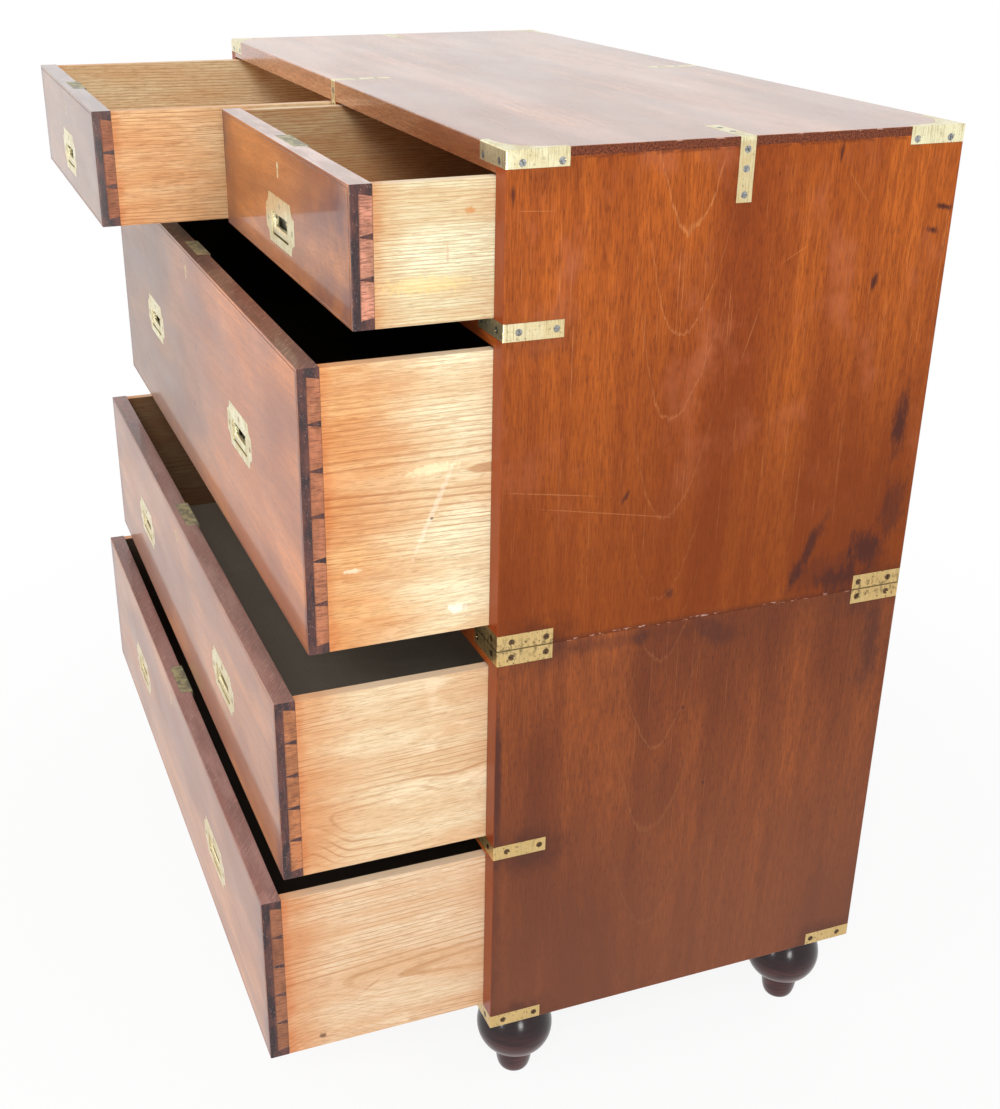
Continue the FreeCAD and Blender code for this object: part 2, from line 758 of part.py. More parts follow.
def drawer(name, centre, half_opening, floor, ceiling, handles, pull):
    """One drawer with its linings, handles and lock, standing open by pull.

    floor and ceiling are the levels of its opening, and handles lists the X of each
    handle from the drawer's middle with its Z and the name of its bail.
    """
    x0 = centre - half_opening + drawer_side_gap
    x1 = centre + half_opening - drawer_side_gap
    z0 = floor + drawer_bottom_gap
    z1 = ceiling - drawer_top_gap
    y0 = front_y
    joint_y = y0 + front_lap
    inner_y = y0 + front_thickness
    rear_y = y0 + drawer_length
    lining_top = z1 - lining_drop
    panel_z = z0 + drawer_bottom_rise
    panel_top = panel_z + drawer_bottom_thickness

    panel = box(x0 + lining_thickness - groove_depth, x1 - lining_thickness + groove_depth,
                inner_y - groove_depth, rear_y, panel_z, panel_top)

    front = eased_front(x0, x1, y0, z0, z1)
    linings = []
    back = box(x0 + lining_thickness, x1 - lining_thickness, rear_y - drawer_back_thickness, rear_y,
               panel_top, lining_top - drawer_back_drop)
    for outer, inner in ((x0, x0 + lining_thickness), (x1, x1 - lining_thickness)):
        front_tails = tails(outer, inner, joint_y, inner_y, z0, z1)
        front = front.cut(front_tails)
        board = box(outer, inner, inner_y, rear_y, z0, lining_top).fuse(front_tails).removeSplitter()
        pin_back = box(outer, inner, rear_y - drawer_back_thickness, rear_y,
                       panel_top, lining_top - drawer_back_drop)
        back_tails = tails(outer, inner, rear_y, rear_y - drawer_back_thickness,
                           panel_top, lining_top - drawer_back_drop)
        back_pins = pin_back.cut(back_tails)
        back = back.fuse(back_pins)
        linings.append(board.cut([panel, back_pins]))
    back = back.removeSplitter()
    front = front.cut([panel, scratch_bead(x0, x1, y0, z0, z1)])

    cavities = lock_cavity(centre, y0, z1)
    plates = []
    bails = []
    for offset, z, bail_name in handles:
        x = centre + offset
        cavities.extend(handle_cavity(x, y0, z))
        plates.extend(handle_plate(x, y0, z))
        bails.append((bail_name, bail(x, y0, z)))
    front = front.cut(cavities)
    bolt = bolt_channel(centre, y0, z1, 0.0)

    out = Vector(0, -pull, 0)
    plate_name = name + ("_handle_plates" if len(handles) > 1 else "_handle_plate")
    export(name + "_front", moved([front], out))
    export(name + "_sides", moved(linings, out))
    export(name + "_back", moved([back], out))
    export(name + "_bottom", moved([panel], out))
    export(plate_name, moved(plates, out))
    export(name + "_lock", moved(lock(centre, y0, z1), out))
    export(name + "_lock_bolt", moved([bolt], out))
    for bail_name, piece in bails:
        export(bail_name, moved([piece], out))


def short_drawer(name, sx, pull):
    floor = upper_rail_top
    handle_z = floor + drawer_bottom_gap + short_handle_rise
    drawer(name, short_centre(sx), (inner_x - divider_thickness / 2) / 2, floor, top_z,
           [(0.0, handle_z, name + "_bail")], pull)


def wide_drawer(name, floor, ceiling, pull):
    middle = (floor + drawer_bottom_gap + ceiling - drawer_top_gap) / 2 - long_handle_drop
    handles = [(-long_handle_offset, middle, name + "_left_bail"),
               (long_handle_offset, middle, name + "_right_bail")]
    drawer(name, 0.0, inner_x, floor, ceiling, handles, pull)


# ---------------------------------------------------------------- the whole chest
os.makedirs("parts", exist_ok=True)
build_upper_case()
build_lower_case()
short_drawer("left_short_drawer", -1, left_short_open)
short_drawer("right_short_drawer", 1, right_short_open)
wide_drawer("deep_drawer", upper_bottom_top, upper_rail_z, deep_open)
wide_drawer("upper_long_drawer", lower_rail_top, lower_top_z, upper_long_open)
wide_drawer("lower_long_drawer", lower_bottom_top, lower_rail_z, lower_long_open)
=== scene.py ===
import bmesh
import bpy
import math
from mathutils import Matrix, Vector


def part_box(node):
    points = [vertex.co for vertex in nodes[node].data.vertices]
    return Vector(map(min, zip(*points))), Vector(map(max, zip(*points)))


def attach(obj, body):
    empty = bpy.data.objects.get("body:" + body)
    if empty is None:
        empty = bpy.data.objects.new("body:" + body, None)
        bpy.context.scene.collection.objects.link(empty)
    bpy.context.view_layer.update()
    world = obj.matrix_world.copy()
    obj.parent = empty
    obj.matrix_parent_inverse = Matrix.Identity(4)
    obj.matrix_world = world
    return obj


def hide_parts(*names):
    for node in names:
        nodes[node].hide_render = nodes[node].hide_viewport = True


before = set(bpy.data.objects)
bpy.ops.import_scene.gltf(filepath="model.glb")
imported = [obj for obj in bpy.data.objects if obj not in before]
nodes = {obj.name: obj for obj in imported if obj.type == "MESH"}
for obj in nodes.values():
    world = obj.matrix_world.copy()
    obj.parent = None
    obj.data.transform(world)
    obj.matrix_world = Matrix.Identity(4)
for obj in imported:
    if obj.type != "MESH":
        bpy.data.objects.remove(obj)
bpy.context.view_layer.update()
mm = 0.001
drawers = ["left_short_drawer", "right_short_drawer", "deep_drawer",
           "upper_long_drawer", "lower_long_drawer"]
# the two cases: heights above the floor, and faces from the middle
chestTop, caseJoint = 1036.3 * mm, 572 * mm
caseFront, caseBack, caseRight = -227.5 * mm, 227.5 * mm, 500 * mm
print("frame loaded:", len(nodes), "nodes")


# shader helpers

def newTree(name):
    material = bpy.data.materials.new(name)
    material.use_nodes = True
    material.node_tree.nodes.clear()
    return material.node_tree


def add(tree, kind, sockets=None, **fields):
    # one node: fields are its own settings, sockets its inputs by name or number
    node = tree.nodes.new("ShaderNode" + kind)
    for field, value in fields.items():
        setattr(node, field, value)
    for key, value in (sockets or {}).items():
        if isinstance(value, bpy.types.NodeSocket):
            tree.links.new(value, node.inputs[key])
        else:
            node.inputs[key].default_value = value
    return node


def calc(tree, operation, a, b=0.0, c=0.0):
    return add(tree, "Math", {0: a, 1: b, 2: c}, operation=operation).outputs[0]


def fade(tree, value, low, high):
    # 0 at low, 1 at high, smooth between; low may be the larger
    node = add(tree, "MapRange", {"Value": value, "From Min": low, "From Max": high},
               interpolation_type="SMOOTHSTEP")
    return node.outputs["Result"]


def band(tree, value, low, high, soft):
    return part(tree, fade(tree, value, low - soft, low), fade(tree, value, high + soft, high))


def facing(tree, amount, sign=1):
    # 1 on the faces that look along an axis, or against it with sign -1
    return fade(tree, amount, sign * 0.6, sign * 0.8)


def mix(tree, factor, a, b, blend="MIX"):
    a = (*a, 1.0) if isinstance(a, tuple) else a
    b = (*b, 1.0) if isinstance(b, tuple) else b
    node = add(tree, "Mix", {0: factor, 6: a, 7: b}, data_type="RGBA", blend_type=blend)
    return node.outputs[2]


def part(tree, value, share):
    return calc(tree, "MULTIPLY", value, share)


def layer(tree, colour, mask, share, tint):
    # tint laid over the colour, by that share of the mask
    return mix(tree, part(tree, mask, share), colour, tint)


def place(tree, point, scale=(1, 1, 1), move=(0, 0, 0), turn=(0, 0, 0)):
    return add(tree, "Mapping", {"Vector": point, "Location": move, "Rotation": turn,
                                 "Scale": scale}).outputs[0]


def noise(tree, point, detail=2.0, rough=0.5):
    node = add(tree, "TexNoise", {"Vector": point, "Scale": 1.0, "Detail": detail, "Roughness": rough})
    return node.outputs["Fac"]


def speck(tree, point, scale, low, high, detail=3.0):
    return fade(tree, noise(tree, place(tree, point, scale), detail, 0.6), low, high)


def objectPoint(tree):
    return add(tree, "TexCoord").outputs["Object"]


def axesOf(tree, vector):
    split = add(tree, "SeparateXYZ", {0: vector}).outputs
    return {"X": split[0], "Y": split[1], "Z": split[2]}


def normalOf(tree):
    return axesOf(tree, add(tree, "TexCoord").outputs["Normal"])


def surfaceOf(tree, sockets):
    surface = add(tree, "BsdfPrincipled", sockets)
    add(tree, "OutputMaterial", {"Surface": surface.outputs[0]})


# wood

def grainPoint(tree, point, along, across):
    # turned so that Z runs with the grain and X across the board's face
    axes = axesOf(tree, point)
    deep = ({"X", "Y", "Z"} - {along, across}).pop()
    return add(tree, "CombineXYZ", {0: axes[across], 1: axes[deep], 2: axes[along]}).outputs[0]


# in every wood: how often the slow parts repeat across, through and along the board, how the years vary,
# and the levels that each part fades between
figureShape = {
    "drift": (3, 3, 1.1), "ripple": (24, 24, 12), "ragged": (260, 260, 45), "years": 0.22, "yearShift": 2.5,
    "fibre": (0.40, 0.64), "hairs": (0.655, 0.70), "poreSoft": 0.07, "cloud": (0.35, 0.65),
    "bands": (0.36, 0.64), "zone": (0.56, 0.42),
}


def woodFigure(tree, grain, wood):
    # growth rings about a heart behind the face, with fibre, pores and clouds along the board
    def pattern(scale, detail=2.0, rough=0.5):
        return noise(tree, place(tree, grain, scale, wood["offset"]), detail, rough)

    axes = axesOf(tree, grain)
    drift = calc(tree, "MULTIPLY_ADD", pattern(figureShape["drift"]), wood["wander"], -0.5 * wood["wander"])
    side = calc(tree, "ADD", calc(tree, "SUBTRACT", axes["X"], wood["heart"]), drift)
    through = axes["Y"]
    if wood["twoBoards"]:
        through = calc(tree, "ABSOLUTE", calc(tree, "SUBTRACT", through, wood["middle"]))
    depth = calc(tree, "SUBTRACT", through, wood["face"] - wood["heartDepth"])
    ring = calc(tree, "SQRT", calc(tree, "MULTIPLY_ADD", side, side, part(tree, depth, depth)))
    ring = calc(tree, "MULTIPLY_ADD", axes["Z"], -wood["taper"], ring)
    for key in ("ripple", "ragged"):
        ring = calc(tree, "MULTIPLY_ADD", pattern(figureShape[key]), wood[key], ring)
    for along, up, reach, lift in wood["knots"]:
        # the rings swell round a knot
        aside = add(tree, "CombineXYZ", {0: calc(tree, "SUBTRACT", axes["X"], up), 1: 0.0,
                                         2: calc(tree, "SUBTRACT", axes["Z"], along)}).outputs[0]
        away = add(tree, "VectorMath", {0: aside}, operation="LENGTH").outputs["Value"]
        ring = calc(tree, "MULTIPLY_ADD", fade(tree, away, reach, 0.0), lift, ring)
    gap, width = wood["ringGap"], wood["lineWidth"]
    years = add(tree, "CombineXYZ", {0: part(tree, ring, figureShape["years"] / gap)}).outputs[0]
    ring = calc(tree, "MULTIPLY_ADD", noise(tree, years), figureShape["yearShift"] * gap, ring)
    phase = calc(tree, "FRACT", calc(tree, "DIVIDE", ring, gap))
    line = part(tree, fade(tree, phase, 1.0 - width, 1.0 - 0.4 * width), fade(tree, phase, 1.0, 1.0 - 0.2 * width))
    near = fade(tree, calc(tree, "ABSOLUTE", side), wood["lineReach"], 0.4 * wood["lineReach"])
    zone = fade(tree, pattern(wood["zone"]), *figureShape["zone"])
    near = part(tree, near, calc(tree, "MULTIPLY_ADD", zone, -wood["zoneDepth"], 1.0))
    return {
        "phase": phase, "line": part(tree, line, near),
        "fibre": fade(tree, pattern(wood["fibre"], 3.0, 0.6), *figureShape["fibre"]),
        "hairs": speck(tree, grain, wood["hair"], *figureShape["hairs"], 2.0),
        "pores": fade(tree, pattern(wood["pore"]), wood["poreCut"], wood["poreCut"] + figureShape["poreSoft"]),
        "cloud": fade(tree, pattern(wood["cloud"], 3.0, 0.55), *figureShape["cloud"]),
        "bands": fade(tree, pattern(wood["bands"]), *figureShape["bands"]),
    }


def woodColour(tree, figure, wood):
    colour = mix(tree, figure["cloud"], wood["deep"], wood["light"])
    for mask, share, tint in (("bands", "bandShow", "deep"), ("phase", "ringShade", "late"),
                              ("line", "lineShow", "line"), ("hairs", "hairShow", "line"),
                              ("fibre", "fibreShow", "streak"), ("pores", "poreShow", "poreColour")):
        colour = layer(tree, colour, figure[mask], wood[share], wood[tint])
    return colour


def woodBump(tree, figure, depth):
    height = calc(tree, "MULTIPLY_ADD", figure["pores"], -1.0, part(tree, figure["fibre"], -0.4))
    return add(tree, "Bump", {"Height": height, "Strength": depth, "Distance": 0.3 * mm}).outputs[0]


def varied(base, **changes):
    made = dict(base)
    made.update(changes)
    return made


# deep and light: the ground colours, cloud: how they change along the board, late: the outer part of each ring,
# line: its edge, streak: the fibre; heart, face, heartDepth: where the rings' middle lies; offset: another board
mahogany = {
    "deep": (0.32, 0.066, 0.010), "light": (0.60, 0.152, 0.022), "late": (0.27, 0.050, 0.008),
    "line": (0.80, 0.34, 0.12), "streak": (0.15, 0.028, 0.007), "poreColour": (0.05, 0.011, 0.006),
    "offset": (1.3, 4.1, 2.2), "wander": 0.04, "heart": -0.055, "face": 0.5, "heartDepth": 0.10,
    "twoBoards": False, "middle": 0.0, "taper": 0.09, "ripple": 0.003, "ragged": 0.0012, "knots": [],
    "ringGap": 0.0085, "ringShade": 0.20, "lineWidth": 0.065, "lineReach": 0.060, "lineShow": 0.28,
    "fibre": (620, 620, 46), "fibreShow": 0.42, "pore": (1150, 1150, 100), "poreCut": 0.57, "poreShow": 0.36,
    "cloud": (13, 13, 1.8), "bands": (60, 60, 2.0), "bandShow": 0.50, "zone": (12, 12, 4), "zoneDepth": 0.35,
    "hair": (700, 700, 5), "hairShow": 0.45, "bump": 0.10,
    "rough": 0.34, "specular": 0.12, "coat": 0.0, "coatRough": 0.12, "tint": (1.0, 1.0, 1.0),
}
endSpecular = 0.15


def polishedWood(name, along, across, wood, marks=None, endGrain=None):
    # a polished board; marks(tree, point, colour) adds what has happened to it
    tree = newTree(name)
    point = objectPoint(tree)
    grain = grainPoint(tree, point, along, across)
    figure = woodFigure(tree, grain, wood)
    colour = woodColour(tree, figure, wood)
    specular, coat = wood["specular"], wood["coat"]
    if endGrain:
        ends = facing(tree, calc(tree, "ABSOLUTE", normalOf(tree)[along]))
        specular = calc(tree, "MULTIPLY_ADD", ends, endSpecular - specular, specular)
        coat = calc(tree, "MULTIPLY_ADD", ends, -coat, coat) if coat else coat
        dark = mix(tree, speck(tree, point, (600, 600, 600), 0.38, 0.62), *endGrain)
        colour = mix(tree, ends, colour, dark)
    if marks:
        colour = marks(tree, point, colour)
    smear = noise(tree, place(tree, grain, (16, 16, 6)), 4.0)
    rough = calc(tree, "MULTIPLY_ADD", smear, 0.24, wood["rough"] - 0.12)
    surfaceOf(tree, {"Base Color": colour, "Roughness": rough, "Normal": woodBump(tree, figure, wood["bump"]),
                     "Specular IOR Level": specular, "Specular Tint": (*wood["tint"], 1.0),
                     "Coat Weight": coat, "Coat Roughness": wood["coatRough"]})


def spot(tree, point, rag, centre, size, lean, frayed, soft, axle="X"):
    # a mark with a frayed rim: its middle, half sizes, and lean about the axle
    local = place(tree, point, move=tuple(-c for c in centre))
    local = place(tree, local, turn=tuple(lean * (axle == name) for name in "XYZ"))
    local = place(tree, local, tuple(1 / s for s in size))
    reach = add(tree, "VectorMath", {0: local}, operation="LENGTH").outputs["Value"]
    reach = calc(tree, "MULTIPLY_ADD", rag, 2 * frayed, calc(tree, "ADD", reach, -frayed))
    return fade(tree, reach, 1.0, 1.0 - soft)


# marks on the right-hand sides: middle (y, z), half sizes, lean and strength of each
# rag: scale, detail and roughness of the noise that frays them; the soot marks: grime gathered round the brass, and
# painted shade round its plates
markDepth = 50 * mm
sideMarks = {
    "stains": {
        "tint": (0.045, 0.014, 0.012), "rag": ((120, 120, 38), 5.0, 0.75), "frayed": 1.1, "soft": 0.8,
        "marks": [((0.201, 0.750), (0.013, 0.046), 0.05, 0.85), ((0.107, 0.620), (0.010, 0.062), 0.42, 0.8),
                  ((0.178, 0.617), (0.032, 0.030), 0.5, 0.8), ((0.150, 0.588), (0.036, 0.020), 0.0, 0.7),
                  ((0.205, 0.660), (0.020, 0.050), 0.2, 0.55), ((0.149, 0.896), (0.005, 0.012), 0.3, 0.85),
                  ((0.217, 0.962), (0.013, 0.004), 0.2, 0.9), ((0.207, 0.941), (0.010, 0.005), 0.3, 0.9),
                  ((0.097, 1.018), (0.003, 0.012), 0.0, 0.8), ((-0.100, 0.713), (0.003, 0.011), 0.5, 0.7),
                  ((-0.046, 0.604), (0.007, 0.008), 0.2, 0.6), ((-0.221, 1.000), (0.003, 0.012), 0.0, 0.8),
                  ((0.130, 0.600), (0.060, 0.030), 0.0, 0.35)]},
    "scratches": {
        "tint": (0.80, 0.36, 0.14), "rag": ((200, 200, 200), 2.0, 0.5), "frayed": 0.6, "soft": 0.4,
        "marks": [((-0.173, 0.726), (0.055, 0.0007), 0.167, 0.17), ((-0.200, 0.985), (0.022, 0.0006), 0.06, 0.17),
                  ((-0.120, 0.700), (0.090, 0.0006), 0.20, 0.17), ((0.020, 0.860), (0.0006, 0.030), 0.3, 0.17),
                  ((0.060, 0.930), (0.020, 0.0005), -0.5, 0.17), ((0.120, 0.985), (0.028, 0.0005), 0.9, 0.17)]},
    "sootAndShade": {
        "tint": (0.040, 0.012, 0.008), "rag": ((70, 70, 70), 4.0, 0.65), "frayed": 0.5, "soft": 0.9,
        "marks": [((-0.185, 0.572), (0.062, 0.042), 0.0, 0.60), ((-0.190, 0.335), (0.066, 0.042), 0.0, 0.60),
                  ((0.195, 0.572), (0.062, 0.045), 0.0, 0.55), ((-0.195, 0.115), (0.062, 0.035), 0.0, 0.60),
                  ((0.195, 0.115), (0.060, 0.035), 0.0, 0.55), ((-0.190, 0.877), (0.058, 0.028), 0.0, 0.30),
                  ((-0.185, 1.022), (0.062, 0.030), 0.0, 0.20), ((0.0, 0.985), (0.016, 0.060), 0.0, 0.20)]},
    "lowerStains": {
        "tint": (0.050, 0.014, 0.010), "rag": ((60, 60, 40), 4.0, 0.7), "frayed": 0.8, "soft": 0.8,
        "marks": [((0.200, 0.500), (0.018, 0.075), 0.0, 0.6), ((-0.225, 0.430), (0.006, 0.11), 0.0, 0.7),
                  ((0.010, 0.553), (0.040, 0.022), 0.4, 0.55), ((-0.075, 0.560), (0.014, 0.010), 0.0, 0.5),
                  ((-0.120, 0.562), (0.11, 0.012), 0.0, 0.35), ((-0.225, 0.300), (0.010, 0.25), 0.0, 0.35),
                  ((-0.020, 0.470), (0.003, 0.003), 0.0, 0.7), ((0.012, 0.372), (0.003, 0.003), 0.0, 0.7)]},
}
caseTints = {
    "frontEdge": (0.32, 0.060, 0.018), "upperPaintedShade": (0.15, 0.029, 0.004), "bloomAndSheen": (0.44, 0.130, 0.058),
    "upperChip": (0.85, 0.55, 0.45), "jointGrime": (0.06, 0.016, 0.010), "seam": (0.09, 0.022, 0.010),
    "lowerPaintedShade": (0.145, 0.048, 0.024), "lowerChip": (0.70, 0.36, 0.24), "topRim": (0.62, 0.36, 0.28),
    "topLip": (0.72, 0.34, 0.15),
}


def sideSpots(tree, point, colour, kind):
    look = sideMarks[kind]
    scale, detail, rough = look["rag"]
    rag = noise(tree, place(tree, point, scale), detail, rough)
    for centre, size, lean, strength in look["marks"]:
        mark = spot(tree, point, rag, (caseRight, *centre), (markDepth, *size), lean, look["frayed"], look["soft"])
        colour = layer(tree, colour, mark, strength, look["tint"])
    return colour


def frontEdge(tree, colour):
    # the sides' front edges kept their red
    return layer(tree, colour, facing(tree, normalOf(tree)["Y"], -1), 0.60, caseTints["frontEdge"])


def upperSideMarks(tree, point, colour):
    height = axesOf(tree, point)["Z"]
    # painted shade: the side darkens towards its bottom
    colour = layer(tree, colour, fade(tree, height, 0.99, 0.60), 0.65, caseTints["upperPaintedShade"])
    bloomAndSheen = part(tree, speck(tree, point, (14, 14, 10), 0.50, 0.72, 4.0), fade(tree, height, 0.62, 0.85))
    colour = layer(tree, colour, bloomAndSheen, 0.50, caseTints["bloomAndSheen"])
    # the soot marks hold painted shade round the brass plates as well as grime
    for kind in ("sootAndShade", "stains", "scratches"):
        colour = sideSpots(tree, point, colour, kind)
    # chips and grime along the joint of the cases, and dirt in the seam under the top
    chips = part(tree, fade(tree, height, caseJoint + 2.8 * mm, caseJoint + 1.2 * mm),
                 speck(tree, point, (95, 95, 200), 0.57, 0.63))
    colour = layer(tree, colour, chips, 0.85, caseTints["upperChip"])
    grime = fade(tree, height, caseJoint + 7 * mm, caseJoint + 0.5 * mm)
    colour = layer(tree, colour, grime, 0.45, caseTints["jointGrime"])
    seam = part(tree, fade(tree, height, chestTop - 12.3 * mm, chestTop - 8.8 * mm),
                speck(tree, point, (90, 90, 200), 0.40, 0.6))
    return frontEdge(tree, layer(tree, colour, seam, 0.6, caseTints["seam"]))


def lowerSideMarks(tree, point, colour):
    height = axesOf(tree, point)["Z"]
    # painted shade: the side darkens towards the floor
    colour = layer(tree, colour, fade(tree, height, 0.50, 0.12), 0.60, caseTints["lowerPaintedShade"])
    # the soot marks hold painted shade round the brass plates as well as grime
    for kind in ("lowerStains", "sootAndShade"):
        colour = sideSpots(tree, point, colour, kind)
    chips = part(tree, fade(tree, height, caseJoint - 1.2 * mm, caseJoint - 0.1 * mm),
                 speck(tree, point, (120, 120, 260), 0.55, 0.62))
    return frontEdge(tree, layer(tree, colour, chips, 0.5, caseTints["lowerChip"]))


def topMarks(tree, point, colour):
    # wear along the right-hand edge and the front one
    axes = axesOf(tree, point)
    high = fade(tree, axes["Z"], chestTop - 1.5 * mm, chestTop - 0.5 * mm)
    rim = part(tree, high, fade(tree, axes["X"], caseRight - 2.2 * mm, caseRight - 0.8 * mm))
    rim = part(tree, rim, speck(tree, point, (110, 50, 110), 0.57, 0.62))
    colour = layer(tree, colour, rim, 0.7, caseTints["topRim"])
    lip = part(tree, high, fade(tree, axes["Y"], caseFront + 1.7 * mm, caseFront + 0.5 * mm))
    lip = part(tree, lip, speck(tree, point, (50, 90, 90), 0.54, 0.62))
    return layer(tree, colour, lip, 0.5, caseTints["topLip"])


polishedWood("upperSideWood", "Z", "Y", varied(
    mahogany, twoBoards=True, deep=(0.255, 0.052, 0.009), light=(0.500, 0.124, 0.018), late=(0.215, 0.040, 0.007),
    fibreShow=0.50, poreShow=0.40), upperSideMarks)
polishedWood("lowerSideWood", "Z", "Y", varied(
    mahogany, twoBoards=True, deep=(0.14, 0.030, 0.006), light=(0.32, 0.078, 0.014),
    late=(0.11, 0.024, 0.007), line=(0.42, 0.15, 0.05), streak=(0.085, 0.019, 0.007),
    offset=(5.3, 2.1, 7.2), specular=0.22, fibreShow=0.42, poreShow=0.45, bandShow=0.40, hairShow=0.40,
    cloud=(10, 10, 2.0)), lowerSideMarks)
# the top's ground is paler than the sides', partly a painted sheen
polishedWood("topWood", "X", "Y", varied(
    mahogany, face=chestTop - 1 * mm, heart=0.03, offset=(2.3, 9.1, 0.4), deep=(0.36, 0.115, 0.040),
    light=(0.80, 0.35, 0.17), specular=0.7, tint=(1.0, 0.92, 0.84), coat=0.6, rough=0.26, coatRough=0.10),
    topMarks, endGrain=((0.075, 0.020, 0.012), (0.20, 0.055, 0.024)))
polishedWood("railWood", "X", "Z", varied(mahogany, face=caseFront, heart=0.9, offset=(0.7, 3.9, 8.0)),
             endGrain=((0.10, 0.03, 0.018), (0.24, 0.07, 0.03)))
polishedWood("dividerWood", "Z", "X", varied(mahogany, face=caseFront, heart=0.0, offset=(4.7, 1.9, 8.0)))

# drawers: a mahogany front on an ash box

ash = {
    "deep": (0.84, 0.56, 0.31), "light": (0.97, 0.84, 0.56), "late": (0.80, 0.52, 0.28),
    "line": (0.46, 0.23, 0.10), "streak": (0.54, 0.30, 0.135), "poreColour": (0.30, 0.14, 0.06),
    "offset": (0.4, 1.1, 3.2), "wander": 0.02, "heart": 0.2, "face": 0.45, "heartDepth": 0.05,
    "twoBoards": False, "middle": 0.0, "taper": 0.02, "ripple": 0.0020, "ragged": 0.0004, "knots": [],
    "ringGap": 0.0052, "ringShade": 0.12, "lineWidth": 0.34, "lineReach": 2.0, "lineShow": 0.78,
    "fibre": (850, 850, 45), "fibreShow": 0.48, "pore": (1500, 1500, 75), "poreCut": 0.58, "poreShow": 0.42,
    "cloud": (26, 26, 5), "bands": (70, 70, 3), "bandShow": 0.35, "zone": (18, 18, 5), "zoneDepth": 0.85,
    "hair": (500, 500, 8), "hairShow": 0.10, "bump": 0.18,
}
